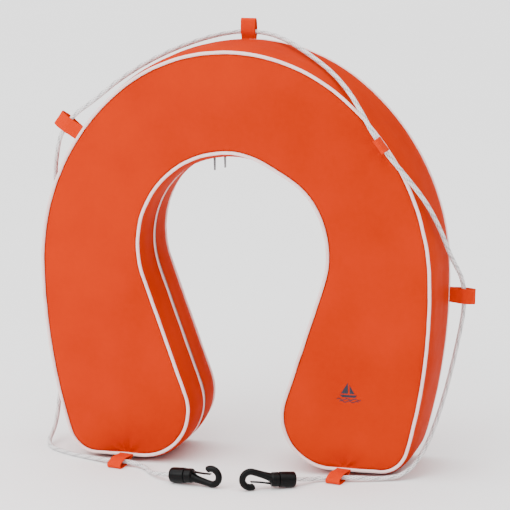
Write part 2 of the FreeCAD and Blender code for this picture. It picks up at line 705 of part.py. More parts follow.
def hook_body(side):
    """Neck at the barrel's end and a tapering bar that runs under the eye and back over it to a lip."""
    body = new_body(f"hook_body_{side}")
    body.Placement = hook_placement(side)
    start, collar, ease = "dims.sleeve_length", "dims.neck_radius", "dims.sleeve_round"
    end = f"({start} + dims.neck_length)"
    turn(body, [
        (start, "0"), (start, f"({collar} - {ease})"), (f"({start} + {ease})", collar),
        (f"({end} - {ease})", collar), (end, f"({collar} - {ease})"), (end, "0"),
    ], f"{body.Name}_neck")
    path = sketch_on(body, "XZ_Plane", f"{body.Name}_path")
    ring, bar = "dims.hook_ring_radius", "dims.hook_section_radius"
    centre = f"(dims.hook_length - {ring} - {bar})"
    root = Vector(measure(f"{start} + dims.spine_root"), -measure("dims.spine_drop"), 0)
    middle = Vector(measure(centre), 0, 0)
    radius = size("hook_ring_radius")
    toward = math.atan2(middle.y - root.y, middle.x - root.x) - math.asin(radius / (middle - root).Length)
    touch = middle + Vector(math.sin(toward), -math.cos(toward), 0) * radius
    lip = math.radians(size("hook_lip_angle"))
    path.addGeometry(Part.LineSegment(root, touch), False)
    circle = Part.Circle(middle, Vector(0, 0, 1), radius)
    path.addGeometry(Part.ArcOfCircle(circle, toward - math.pi / 2, lip), False)
    path.addConstraint(Sketcher.Constraint("Tangent", 0, END, 1, START))
    hold(path, (1, CENTRE), middle, (centre, "0"))
    hold(path, (0, START), root, (f"({start} + dims.spine_root)", "-dims.spine_drop"))
    reach = middle + Vector(math.cos(lip), math.sin(lip), 0) * radius
    angle = "dims.hook_lip_angle"
    hold(path, (1, END), reach, (f"({centre} + {ring} * cos({angle} * 1 deg))", f"{ring} * sin({angle} * 1 deg)"))
    profile = round_section(body, "bar", "dims.spine_root", "dims.spine_drop", bar)
    wide = round_section(body, "root", "dims.spine_root", "dims.spine_drop", "dims.spine_root_radius")
    narrow = round_section(body, "taper", "(dims.spine_root + dims.spine_taper_length)",
                           "(dims.spine_drop + dims.spine_taper_fall)", bar)
    doc.recompute()
    rod = body.newObject("PartDesign::AdditivePipe", f"{body.Name}_bar")
    rod.Profile = profile
    rod.Spine = (path, [])
    doc.recompute()
    taper = body.newObject("PartDesign::AdditiveLoft", f"{body.Name}_spine")
    taper.Profile = wide
    taper.Sections = [narrow]


def hook_gate(side):
    """Thin tongue from the neck to under the lip, closing the eye."""
    body = new_body(f"hook_gate_{side}")
    body.Placement = hook_placement(side)
    tongue = sketch_on(body, "XZ_Plane", f"{body.Name}_tongue")
    half = "dims.gate_half_thickness"
    root = "(dims.sleeve_length + dims.neck_length + dims.gate_clearance)"
    tip = f"({root} + dims.gate_length)"
    high, low = "dims.gate_rise", "(dims.gate_rise - dims.gate_fall)"
    polygon(tongue, [
        (root, f"({high} - {half})"), (tip, f"({low} - {half})"), (tip, f"({low} + {half})"),
        (root, f"({high} + {half})"),
    ])
    pad(body, tongue, f"{body.Name}_plate", "2 * dims.gate_half_width")


for side in HOOKS:
    hook_sleeve(side)
    hook_body(side)
    hook_gate(side)

# ---------------------------------------------------------------- grab line

# from the left hook's bore along the floor, round the ring through every loop, to the right hook's bore
ROPE_ROUTE = [
    (-53.8, -123.0, 11.5), (-82.8, -117.8, 9.1), (-104.0, -96.0, 3.6), (-117.0, -77.0, 3.8),
    (-138.0, -67.8, 6.8), (-171.0, -65.6, 6.5), (-203.0, -52.0, 3.3), (-250.0, -34.0, 3.2),
    (-286.5, -8.0, 3.4), (-287.0, 34.0, 20.0), (-290.0, 62.0, 66.0), (-290.5, 72.0, 122.0),
    (-290.5, 75.5, 178.0), (-288.0, 73.0, 228.0), (-287.5, 68.0, 288.0), (-277.0, 36.0, 344.0),
    (-260.0, -4.0, 394.0), (-246.0, -31.0, 424.0), (-235.0, -45.4, 450.0), (-215.0, -45.4, 477.0),
    (-188.0, -43.0, 495.0), (-151.0, -31.0, 526.5), (-105.0, -8.0, 554.0), (-63.0, 33.0, 570.0),
    (-27.0, 73.5, 576.2), (16.0, 73.5, 576.2), (57.0, 38.0, 571.0), (95.0, 8.0, 557.5),
    (131.0, -15.0, 539.5), (160.5, -38.0, 517.5), (182.0, -56.0, 493.0), (200.0, -66.0, 466.0),
    (219.0, -66.0, 440.0), (241.0, -55.0, 410.0), (262.0, -35.0, 374.0), (274.0, -8.0, 334.0),
    (280.5, 26.0, 290.0), (288.0, 73.0, 248.0), (288.5, 73.0, 208.0), (282.0, 60.0, 164.0),
    (275.0, 36.0, 118.0), (267.0, 8.0, 76.0), (255.0, -20.0, 36.0), (234.0, -43.0, 8.0),
    (203.0, -53.0, 3.3), (171.0, -66.0, 7.0), (136.0, -68.4, 5.5), (116.5, -79.0, 4.6),
    (106.8, -97.6, 9.8), (88.6, -108.0, 11.5),
]
BEND_SHARE = 0.45


def rounded_route(points):
    """Wire of straight runs joined by tangent arcs, and the arcs' radii."""
    edges, radii = [], []
    here = points[0]
    for before, corner, after in zip(points, points[1:], points[2:]):
        back, ahead = (before - corner), (after - corner)
        setback = BEND_SHARE * min(back.Length, ahead.Length)
        back.normalize()
        ahead.normalize()
        half_turn = (math.pi - back.getAngle(ahead)) / 2
        radius = setback / math.tan(half_turn)
        inward = (back + ahead).normalize()
        middle = corner + inward * (radius / math.cos(half_turn) - radius)
        start, finish = corner + back * setback, corner + ahead * setback
        edges.append(Part.LineSegment(here, start).toShape())
        edges.append(Part.Arc(start, middle, finish).toShape())
        radii.append(radius)
        here = finish
    edges.append(Part.LineSegment(here, points[-1]).toShape())
    return Part.Wire(edges), radii


route = [Vector(*point) for point in ROPE_ROUTE]
rope_wire, bend_radii = rounded_route(route)
rope_path = doc.addObject("Part::Feature", "rope_path")
rope_path.Shape = rope_wire
rope_circle = doc.addObject("Part::Circle", "rope_circle")
rope_circle.setExpression("Radius", "dims.rope_radius")
rope_circle.Placement = Placement(route[0], Rotation(Vector(0, 0, 1), route[1] - route[0]))
grab_line = part(doc.addObject("Part::Sweep", "grab_line"), "grab_line")
grab_line.Sections = [rope_circle]
grab_line.Spine = (rope_path, [])
grab_line.Solid = True
grab_line.Frenet = False

# ---------------------------------------------------------------- checks and export

doc.recompute()
for feature in doc.Objects:
    if "Invalid" in feature.State or "Error" in feature.State:
        raise RuntimeError(f"{feature.Name}: {feature.State}")
for feature in PARTS:
    if feature.Shape.isNull() or not feature.Shape.isValid():
        raise RuntimeError(f"{feature.Label} has no valid shape")

expected = math.pi * size("rope_radius") ** 2 * rope_wire.Length
print("grab line radii mm:", " ".join(f"{radius:.0f}" for radius in bend_radii))
print(f"grab line length {rope_wire.Length:.1f} mm, volume {grab_line.Shape.Volume:.0f} of {expected:.0f} mm3")

os.makedirs("parts", exist_ok=True)
for feature in PARTS:
    feature.Shape.exportStep(f"parts/{feature.Label}.step")
print(f"{len(PARTS)} sub-parts written")
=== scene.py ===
import math

import bpy
import numpy as np
from mathutils import Matrix, Vector, noise
from mathutils.bvhtree import BVHTree
from mathutils.geometry import delaunay_2d_cdt


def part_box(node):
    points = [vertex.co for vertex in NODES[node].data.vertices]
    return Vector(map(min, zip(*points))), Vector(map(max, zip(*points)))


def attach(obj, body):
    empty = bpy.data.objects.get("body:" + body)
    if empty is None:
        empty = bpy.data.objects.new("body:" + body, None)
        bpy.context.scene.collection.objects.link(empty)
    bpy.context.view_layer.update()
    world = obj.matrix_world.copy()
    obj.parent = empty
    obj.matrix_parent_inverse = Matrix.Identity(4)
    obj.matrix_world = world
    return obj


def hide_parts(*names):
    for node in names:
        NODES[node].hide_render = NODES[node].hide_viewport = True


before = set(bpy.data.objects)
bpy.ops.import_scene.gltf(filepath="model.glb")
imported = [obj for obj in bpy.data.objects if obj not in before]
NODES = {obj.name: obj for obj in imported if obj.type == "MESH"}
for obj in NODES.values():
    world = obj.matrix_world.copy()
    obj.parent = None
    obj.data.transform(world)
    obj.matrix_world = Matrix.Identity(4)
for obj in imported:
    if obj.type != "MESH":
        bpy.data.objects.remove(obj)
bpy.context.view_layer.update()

# A horseshoe lifebuoy in its photograph's view. Metres, in the frame's axes: +X right, +Y to the rear, +Z up.

MM = 0.001

# ---- camera

VIEW_AZIMUTH = math.radians(16.80)
VIEW_ELEVATION = math.radians(12.63)
VIEW_ROLL = math.radians(-1.05)
VIEW_DISTANCE = 3.425
VIEW_TARGET = Vector((0.0148, 0.014, 0.2829))
LENS = 180.15
SENSOR = 36.0
FAR_CLIP = 60.0


def make_camera():
    data = bpy.data.cameras.new("camera")
    data.lens = LENS
    data.sensor_width = SENSOR
    data.clip_end = FAR_CLIP
    camera = bpy.data.objects.new("camera", data)
    bpy.context.collection.objects.link(camera)
    back = Vector((
        math.sin(VIEW_AZIMUTH) * math.cos(VIEW_ELEVATION),
        -math.cos(VIEW_AZIMUTH) * math.cos(VIEW_ELEVATION),
        math.sin(VIEW_ELEVATION),
    ))
    level = Vector((0, 0, 1)).cross(back).normalized()
    upright = back.cross(level)
    right = level * math.cos(VIEW_ROLL) + upright * math.sin(VIEW_ROLL)
    up = back.cross(right)
    axes = Matrix((right, up, back)).transposed().to_4x4()
    camera.matrix_world = Matrix.Translation(VIEW_TARGET + back * VIEW_DISTANCE) @ axes
    bpy.context.scene.camera = camera


make_camera()

# ---- mesh helpers

def new_object(name, points, faces, material, uv=None, smooth=True):
    """Mesh object from points and faces, with one UV pair for each point."""
    mesh = bpy.data.meshes.new(name)
    mesh.from_pydata([tuple(point) for point in points], [], faces)
    mesh.update()
    mesh.materials.append(material)
    if smooth:
        mesh.polygons.foreach_set("use_smooth", [True] * len(mesh.polygons))
    if uv is not None:
        layer = mesh.uv_layers.new(name="UVMap")
        corners = np.empty(len(mesh.loops), int)
        mesh.loops.foreach_get("vertex_index", corners)
        layer.data.foreach_set("uv", np.asarray(uv, float)[corners].ravel())
    piece = bpy.data.objects.new(name, mesh)
    bpy.context.collection.objects.link(piece)
    return piece


def settle(piece, slot, *nodes, body="buoy"):
    """Says which body a piece rides and which CAD nodes it stands for. The slot argument, meant for its
    finish, is not used.
    """
    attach(piece, body)
    if nodes:
        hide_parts(*nodes)
    return piece


def polar(centre, radius, degrees):
    """Place at a distance and an angle from a centre."""
    angle = math.radians(degrees)
    return np.array([centre[0] + radius * math.cos(angle), centre[1] + radius * math.sin(angle)])


def around(count):
    """Evenly spaced angles of a full turn."""
    return np.linspace(0, 2 * math.pi, count, endpoint=False)


def grid_faces(rows, columns, close_rows=False, close_columns=False, flip=False):
    """Quads of a grid of points numbered row by row."""
    faces = []
    for row in range(rows if close_rows else rows - 1):
        below = (row + 1) % rows
        for column in range(columns if close_columns else columns - 1):
            right = (column + 1) % columns
            quad = (row * columns + column, row * columns + right,
                    below * columns + right, below * columns + column)
            faces.append(quad[::-1] if flip else quad)
    return faces


def end_caps(rows, columns):
    """The two faces that close the ends of a tube of rings."""
    last = (rows - 1) * columns
    return [tuple(range(columns)), tuple(range(last + columns - 1, last - 1, -1))]


def shifted(faces, first):
    """Faces renumbered for points that start at a later number."""
    return [tuple(first + corner for corner in face) for face in faces]


def bumps(x, y, z, seed=0.0):
    """Smooth noise from -1 to 1, one value for each place."""
    x, y, z = np.broadcast_arrays(x, y, z)
    values = [noise.noise(Vector((a + seed, b, c))) for a, b, c in zip(x.ravel(), y.ravel(), z.ravel())]
    return np.array(values).reshape(x.shape)


def waves(size, x, z, seed):
    """Unevenness of a face, for a size that is its height and its length."""
    height, length = size
    return height * bumps(x / length, z / length, seed)


def ripples(size, along, seed):
    """Unevenness of a line, for a size that is its height and its length."""
    height, length = size
    return height * bumps(along / length, seed, 0.0)


def smoothstep(values, low, high):
    """Rise from 0 to 1 between two edges, level at both."""
    share = np.clip((values - low) / (high - low), 0, 1)
    return share * share * (3 - 2 * share)


def moved_along(points):
    """Distance along a line of points, from its first."""
    steps = np.linalg.norm(np.diff(points, axis=0), axis=1)
    return np.concatenate([[0.0], np.cumsum(steps)])


def frames_along(points, start_side):
    """Two cross directions at each point, carried along without twist."""
    tangents = np.gradient(points, axis=0)
    tangents /= np.linalg.norm(tangents, axis=1)[:, None]
    side = np.array(start_side, float)
    sides = []
    for tangent in tangents:
        side = side - tangent * np.dot(side, tangent)
        side = side / np.linalg.norm(side)
        sides.append(side)
    sides = np.array(sides)
    return sides, np.cross(tangents, sides)


def swept(name, line, start_side, across, upward, material, closed=False):
    """Tube with a ring round each point of a line, from two distances for each of the ring's places."""
    line = np.asarray(line, float)
    sides, others = frames_along(line, start_side)
    rings = (line[:, None, :] + sides[:, None, :] * across[:, :, None]
             + others[:, None, :] * upward[:, :, None])
    rows, columns = across.shape
    uv = np.stack(np.broadcast_arrays(moved_along(line)[:, None], np.arange(columns) / columns), -1)
    faces = grid_faces(rows, columns, close_rows=closed, close_columns=True)
    if not closed:
        faces += end_caps(rows, columns)
    return new_object(name, rings.reshape(-1, 3), faces, material, uv.reshape(-1, 2))


def tube(name, line, radii, segments, start_side, material, closed=False, square=1.0):
    """Round or oval bar along a line. radii holds a pair for each point: along side and across it."""
    angles = around(segments)
    across = np.sign(np.cos(angles)) * np.abs(np.cos(angles)) ** square
    upward = np.sign(np.sin(angles)) * np.abs(np.sin(angles)) ** square
    return swept(name, line, start_side, radii[:, :1] * across, radii[:, 1:] * upward, material, closed)

# ---- material helpers

WAVE_PERIOD = math.pi / 10  # a wave texture's period at scale 1


class Nodes:
    """A node tree, with short ways to add and join its nodes."""

    def __init__(self, tree):
        self.tree = tree

    def add(self, kind, **settings):
        node = self.tree.nodes.new(kind)
        for name, value in settings.items():
            setattr(node, name, value)
        return node

    def feed(self, socket, value):
        """Gives a socket a number, a colour or another node's output."""
        if isinstance(value, (int, float)):
            socket.default_value = value
        elif isinstance(value, tuple):
            socket.default_value = (*value, 1.0)
        else:
            self.tree.links.new(value, socket)

    def fill(self, node, **values):
        """Feeds a node's inputs by name, with _ for a space."""
        for name, value in values.items():
            self.feed(node.inputs[name.replace("_", " ")], value)
        return node

    def coordinates(self, kind):
        return self.add("ShaderNodeTexCoord").outputs[kind]

    def math(self, operation, first, second, **settings):
        node = self.add("ShaderNodeMath", operation=operation, **settings)
        self.feed(node.inputs[0], first)
        self.feed(node.inputs[1], second)
        return node.outputs[0]

    def between(self, value, low, high, new_low, new_high):
        node = self.add("ShaderNodeMapRange")
        self.fill(node, Value=value, From_Min=low, From_Max=high, To_Min=new_low, To_Max=new_high)
        return node.outputs[0]


class Shader(Nodes):
    """A material's nodes. Noise follows the object, and waves follow its UV map, in metres."""

    def __init__(self, name):
        self.material = bpy.data.materials.new(name)
        self.material.use_nodes = True
        super().__init__(self.material.node_tree)
        self.place = self.coordinates("Object")
        self.cloth = self.coordinates("UV")

    def noise(self, scale, detail=3.0, roughness=0.5):
        node = self.add("ShaderNodeTexNoise")
        self.fill(node, Vector=self.place, Scale=scale, Detail=detail, Roughness=roughness)
        return node.outputs["Fac"]

    def patches(self, scale, detail=3.0, edges=(0.3, 0.7), values=(0.0, 1.0), roughness=0.5):
        """Noise stretched from one value to another between two edges."""
        return self.between(self.noise(scale, detail, roughness), *edges, *values)

    def wave(self, period, direction, distortion=0.0):
        node = self.add("ShaderNodeTexWave", bands_direction=direction)
        self.fill(node, Vector=self.cloth, Scale=WAVE_PERIOD / period, Distortion=distortion)
        return node.outputs["Fac"]

    def attribute(self, name):
        return self.add("ShaderNodeAttribute", attribute_name=name).outputs["Fac"]

    def mix(self, share, first, second):
        node = self.add("ShaderNodeMix", data_type="RGBA")
        for name, value in (("Factor", share), ("A", first), ("B", second)):
            self.feed(next(s for s in node.inputs if s.name == name and s.enabled), value)
        return next(s for s in node.outputs if s.enabled)

    def bump(self, height, distance, strength, under=None):
        node = self.fill(self.add("ShaderNodeBump"), Height=height, Distance=distance, Strength=strength)
        if under is not None:
            self.feed(node.inputs["Normal"], under)
        return node.outputs["Normal"]

    def finish(self, colour, roughness, normal=None, **values):
        surface = self.tree.nodes["Principled BSDF"]
        self.fill(surface, Base_Color=colour, Roughness=roughness, **values)
        if normal is not None:
            self.feed(surface.inputs["Normal"], normal)
        return self.material


# ---- materials

THREAD = 0.45 * MM
VINYL_CREASE = 2.6 * MM
WEBBING_RIB = 1.5 * MM
WEBBING_THREAD = 0.8 * MM


def weave(shader, thread):
    """Height of a plain weave: threads over and under, a thread's width apart."""
    return shader.math("MAXIMUM", shader.wave(2 * thread, "X"), shader.wave(2 * thread, "Y"))


def coated_fabric(name, deep, plain, worn):
    """Coated orange cloth: a fine weave with hardly any shine, slightly mottled, with painted shade in the
    weave's low places.
    """
    shader = Shader(name)
    threads = weave(shader, THREAD)
    colour = shader.mix(shader.patches(9.0, 2.0, (0.35, 0.65)), deep, plain)
    colour = shader.mix(shader.patches(160.0, 4.0, values=(0.0, 0.22), roughness=0.6), colour, worn)
    # Painted shade: the weave's low places are darkened towards the deep colour.
    colour = shader.mix(shader.between(threads, 0.0, 1.0, 0.12, 0.0), colour, deep)
    roughness = shader.patches(55.0, values=(0.52, 0.64))
    normal = shader.bump(threads, 0.05 * MM, 0.5)
    normal = shader.bump(shader.noise(420.0), 0.10 * MM, 0.4, normal)
    normal = shader.bump(shader.noise(38.0, 2.0), 0.6 * MM, 0.45, normal)
    return shader.finish(colour, roughness, normal, Specular_IOR_Level=0.01)


def soft_vinyl(name, light, dull):
    """Piping's white vinyl, faintly soiled in patches, with short creases across it."""
    shader = Shader(name)
    colour = shader.mix(shader.patches(26.0, 4.0, (0.45, 0.75), roughness=0.6), light, dull)
    roughness = shader.patches(90.0, values=(0.38, 0.52))
    normal = shader.bump(shader.wave(VINYL_CREASE, "X", 2.0), 0.08 * MM, 0.35)
    normal = shader.bump(shader.noise(240.0), 0.08 * MM, 0.4, normal)
    return shader.finish(colour, roughness, normal, Specular_IOR_Level=0.4, Subsurface_Weight=0.08,
                         Subsurface_Scale=1.0 * MM)


def webbing_cloth(name, deep, plain):
    """Woven strap: ribs across its width with a thread's zigzag in each, and painted shade in the low places
    between them.
    """
    shader = Shader(name)
    threads = shader.between(shader.wave(WEBBING_THREAD, "Y", 1.2), 0.0, 1.0, 0.6, 1.0)
    raised = shader.math("MULTIPLY", shader.wave(WEBBING_RIB, "X", 0.4), threads)
    # Painted shade: the low places between ribs take the deep colour, the raised threads the plain one.
    colour = shader.mix(raised, deep, plain)
    colour = shader.mix(shader.patches(120.0, values=(0.0, 0.25)), colour, deep)
    roughness = shader.between(raised, 0.0, 1.0, 0.78, 0.62)
    normal = shader.bump(raised, 0.22 * MM, 0.8)
    return shader.finish(colour, roughness, normal, Specular_IOR_Level=0.04)


def rope_cloth(name, light, grey, hollow_shade):
    """Braided line: its mesh holds the strands' height, and says where a grey tracer is and where a hollow
    between strands gets painted shade.
    """
    shader = Shader(name)
    colour = shader.mix(shader.attribute("tracer"), light, grey)
    # Painted shade: the hollows between strands are darkened.
    colour = shader.mix(shader.math("MULTIPLY", shader.attribute("hollow"), 0.65), colour, hollow_shade)
    fibres = shader.noise(2600.0, 2.0)
    roughness = shader.between(fibres, 0.3, 0.7, 0.62, 0.8)
    normal = shader.bump(fibres, 0.06 * MM, 0.5)
    return shader.finish(colour, roughness, normal, Sheen_Weight=0.25, Sheen_Roughness=0.4)


def moulded_nylon(name, black, dusty):
    """Near-black nylon with a soft shine and a faint moulded grain."""
    shader = Shader(name)
    colour = shader.mix(shader.patches(220.0, 5.0, (0.5, 0.75), (0.0, 0.6), 0.6), black, dusty)
    roughness = shader.patches(320.0, values=(0.28, 0.42))
    normal = shader.bump(shader.noise(900.0), 0.05 * MM, 0.45)
    return shader.finish(colour, roughness, normal, Specular_IOR_Level=0.12)


def cast_metal(name, bright, dull):
    """Grey die-cast metal, duller and rougher in patches."""
    shader = Shader(name)
    patina = shader.patches(520.0, 4.0, (0.35, 0.7), roughness=0.6)
    colour = shader.mix(patina, bright, dull)
    roughness = shader.between(patina, 0.0, 1.0, 0.28, 0.5)
    normal = shader.bump(shader.noise(1500.0), 0.04 * MM, 0.5)
    return shader.finish(colour, roughness, normal, Metallic=0.85)


def matte(name, plain, deep, scale, height):
    """Matte stuff with a mottled colour and a fine grain, such as foam, tape, ink or thread."""
    shader = Shader(name)
    colour = shader.mix(shader.patches(scale, 4.0, (0.35, 0.65), roughness=0.6), plain, deep)
    roughness = shader.patches(scale * 2, values=(0.6, 0.8))
    normal = shader.bump(shader.noise(scale * 4), height, 0.5)
    return shader.finish(colour, roughness, normal, Specular_IOR_Level=0.3)


COVER = coated_fabric("cover_fabric", (0.43, 0.0185, 0.0), (0.50, 0.0235, 0.0), (0.54, 0.029, 0.0001))
PIPING = soft_vinyl("piping_vinyl", (0.92, 0.68, 0.66), (0.83, 0.56, 0.53))
WEBBING = webbing_cloth("webbing", (0.52, 0.022, 0.0), (0.78, 0.04, 0.0001))
# The rope's last colour is painted shade for the hollows between strands.
ROPE = rope_cloth("rope", (0.80, 0.78, 0.78), (0.14, 0.13, 0.14), (0.12, 0.11, 0.11))
NYLON = moulded_nylon("hook_nylon", (0.0016, 0.0016, 0.0018), (0.005, 0.005, 0.006))
METAL = cast_metal("zip_metal", (0.130, 0.112, 0.120), (0.060, 0.052, 0.056))
# Pale zip colour: the white is the zip's own, its pink tint is painted orange reflection from the cover.
ZIP_WHITE = matte("zip_white", (0.80, 0.68, 0.66), (0.66, 0.52, 0.50), 400.0, 0.08 * MM)
# Painted shade: the rear tape and coil are the zip's pale colour darkened to red-brown, for the shadow in the
# slot behind the hem.
ZIP_PAINTED_SHADE = matte("zip_painted_shade", (0.22, 0.035, 0.012), (0.14, 0.022, 0.009), 400.0, 0.08 * MM)
FOAM = matte("foam", (0.80, 0.80, 0.78), (0.70, 0.70, 0.68), 700.0, 0.15 * MM)
INK = matte("ink", (0.016, 0.014, 0.024), (0.028, 0.024, 0.038), 500.0, 0.04 * MM)

# ---- snap hooks

HOOKS = {  # each barrel's mouth, the way the hook points, and the side that its gate is on
    "left": ((-0.0661, -0.1208, 0.0105), (0.984, -0.174, 0.0), 1.0),
    "right": ((0.0994, -0.1018, 0.0105), (-0.870, -0.495, 0.0), -1.0),
}
HOOK_LENGTH = 76.0 * MM
HOOK_RING_RADIUS = 10.6 * MM
HOOK_BAR_RADIUS = 4.5 * MM
HOOK_BAR_HALF_WIDTH = 4.3 * MM
HOOK_RING_HEIGHT = 15.5 * MM
HOOK_RING_X = HOOK_LENGTH - HOOK_RING_RADIUS - HOOK_BAR_RADIUS
SPINE = [  # millimetres along and up, then half width and half depth
    (26.0, -1.0, 8.4, 7.8), (30.0, -1.5, 8.2, 7.2), (33.5, -2.7, 7.4, 6.0), (37.0, -4.1, 6.3, 5.3),
    (42.0, -5.6, 5.3, 4.9), (48.0, -7.3, 4.7, 4.6), (53.0, -8.8, 4.4, 4.5),
]
SPINE_MEETS_RING = -103.1
LIP_DEGREES = 128.0
LIP_ROUND = 2.2 * MM
LIP_TIP = 0.5 * MM
GATE_ROOT = 33.6 * MM
GATE_LENGTH = 27.0 * MM
GATE_RISE = 5.6 * MM
GATE_FALL = 2.4 * MM
GATE_BOW = 0.5 * MM
AXIS_GAP = 0.4 * MM
BARREL_LENGTH = 22.0 * MM
BARREL_RADIUS = 10.2 * MM
BARREL_BELLY = (8.0 * MM, 16.0 * MM)
BARREL_SWELL = 0.1 * MM
BORE_DEPTH = 14.0 * MM
BORE_RADIUS = 3.4 * MM
BORE_CHAMFER = 0.6 * MM
MOUTH_EASE = 3.0 * MM
RIM_EASE = 1.0 * MM
NECK_START = 20.0 * MM
NECK_END = 33.0 * MM
NECK_RADIUS = 9.7 * MM
NECK_RIM_EASE = 0.8 * MM
NECK_END_EASE = 1.8 * MM
GROOVE_END = 22.4 * MM
GROOVE_RADIUS = 8.4 * MM
SKIN_VOXEL = 0.5 * MM


def hook_axes(side):
    """A hook's own frame: barrel mouth at its origin, ring along X, gate on Z."""
    mouth, heading, up = HOOKS[side]
    pitch = math.asin((HOOK_RING_HEIGHT - mouth[2]) / HOOK_RING_X)
    forward = Vector(heading).normalized() * math.cos(pitch) + Vector((0, 0, math.sin(pitch)))
    sideways = Vector((0, 0, up)).cross(forward).normalized()
    axes = Matrix((forward, sideways, forward.cross(sideways))).transposed().to_4x4()
    return Matrix.Translation(Vector(mouth)) @ axes


def lathe(name, profile, axes, segments=48):
    """Closed profile of (along, radius) pairs turned round local X."""
    points = []
    for along, radius in profile:
        for angle in around(segments):
            points.append(axes @ Vector((along, radius * math.cos(angle), radius * math.sin(angle))))
    faces = grid_faces(len(profile), segments, close_columns=True) + end_caps(len(profile), segments)
    return new_object(name, points, faces, NYLON)


def rounded_corner(along, radius, ease, first, last):
    """Quarter round of a turned profile about a centre, between two angles in degrees."""
    return [polar((along, radius), ease, degrees) for degrees in np.linspace(first, last, 8)]


def fused(name, pieces):
    """One skin round overlapping pieces, with its inside corners filled."""
    points, faces = [], []
    for piece in pieces:
        faces += shifted([face.vertices for face in piece.data.polygons], len(points))
        points += [tuple(vertex.co) for vertex in piece.data.vertices]
        bpy.data.objects.remove(piece)
    skin = new_object(name, points, faces, NYLON)
    remesh = skin.modifiers.new("skin", "REMESH")
    remesh.mode = "VOXEL"
    remesh.voxel_size = SKIN_VOXEL
    remesh.use_smooth_shade = True
    ease = skin.modifiers.new("ease", "SMOOTH")
    ease.factor = 0.5
    ease.iterations = 4
    return skin


def make_sleeve(side, axes):
    """Barrel with the line's bore in its mouth."""
    profile = [(BORE_DEPTH, AXIS_GAP), (BORE_DEPTH, BORE_RADIUS), (BORE_CHAMFER, BORE_RADIUS),
               (0.0, BORE_RADIUS + BORE_CHAMFER)]
    profile += rounded_corner(MOUTH_EASE, BARREL_RADIUS - MOUTH_EASE, MOUTH_EASE, 180, 90)
    profile += [(along, BARREL_RADIUS + BARREL_SWELL) for along in BARREL_BELLY]
    profile += rounded_corner(BARREL_LENGTH - RIM_EASE, BARREL_RADIUS - RIM_EASE, RIM_EASE, 90, 0)
    profile += [(BARREL_LENGTH, AXIS_GAP)]
    return settle(lathe(f"snap_barrel_{side}", profile, axes), "hook_plastic", f"hook_sleeve_{side}")


def make_hook(side, axes):
    """Neck, spine and open ring in one skin."""
    profile = [(NECK_START, AXIS_GAP), (NECK_START, GROOVE_RADIUS), (GROOVE_END, GROOVE_RADIUS)]
    profile += rounded_corner(GROOVE_END + NECK_RIM_EASE, NECK_RADIUS - NECK_RIM_EASE, NECK_RIM_EASE, 180, 90)
    profile += rounded_corner(NECK_END - NECK_END_EASE, NECK_RADIUS - NECK_END_EASE, NECK_END_EASE, 90, 0)
    profile += [(NECK_END, AXIS_GAP)]
    neck = lathe("neck", profile, axes)
    rows = [np.array(row) * MM for row in SPINE]
    for degrees in np.linspace(SPINE_MEETS_RING, LIP_DEGREES, 48):
        left = math.radians(LIP_DEGREES - degrees) * HOOK_RING_RADIUS
        end = math.sqrt(1 - max(0.0, 1 - left / LIP_ROUND) ** 2)
        place = polar((HOOK_RING_X, 0.0), HOOK_RING_RADIUS, degrees)
        rows.append((*place, max(LIP_TIP, HOOK_BAR_HALF_WIDTH * end), max(LIP_TIP, HOOK_BAR_RADIUS * end)))
    rows = np.array(rows)
    path = [axes @ Vector((x, 0, z)) for x, z in rows[:, :2]]
    bar = tube("bar", path, rows[:, 2:], 28, axes.col[1].xyz, NYLON)
    return settle(fused(f"snap_body_{side}", [neck, bar]), "hook_plastic", f"hook_body_{side}")


def make_gate(side, axes):
    """Springy tongue, thinner towards its tip, which is rounded."""
    shares = np.concatenate([[0.0, 0.01], np.linspace(0.03, 0.96, 14), [0.985, 0.996, 1.0]])
    half_width = np.interp(shares, [0, 0.01, 0.1, 0.96, 0.985, 1.0], [2.4, 3.0, 2.7, 2.5, 2.2, 1.2])
    half_depth = np.interp(shares, [0, 0.01, 0.12, 0.96, 0.985, 1.0], [0.8, 1.0, 0.9, 0.8, 0.6, 0.3])
    heights = GATE_RISE - GATE_FALL * shares - GATE_BOW * np.sin(shares * math.pi)
    path = [axes @ Vector((GATE_ROOT + GATE_LENGTH * share, 0, height))
            for share, height in zip(shares, heights)]
    tongue = tube(f"snap_tongue_{side}", path, np.stack([half_width, half_depth], -1) * MM, 20,
                  axes.col[1].xyz, NYLON, square=0.45)
    return settle(tongue, "hook_plastic", f"hook_gate_{side}", body=f"{side}_gate")


hook_pieces = []
for side in HOOKS:
    placed = hook_axes(side)
    hook_pieces += [make_sleeve(side, placed), make_hook(side, placed), make_gate(side, placed)]

# ---- grab line

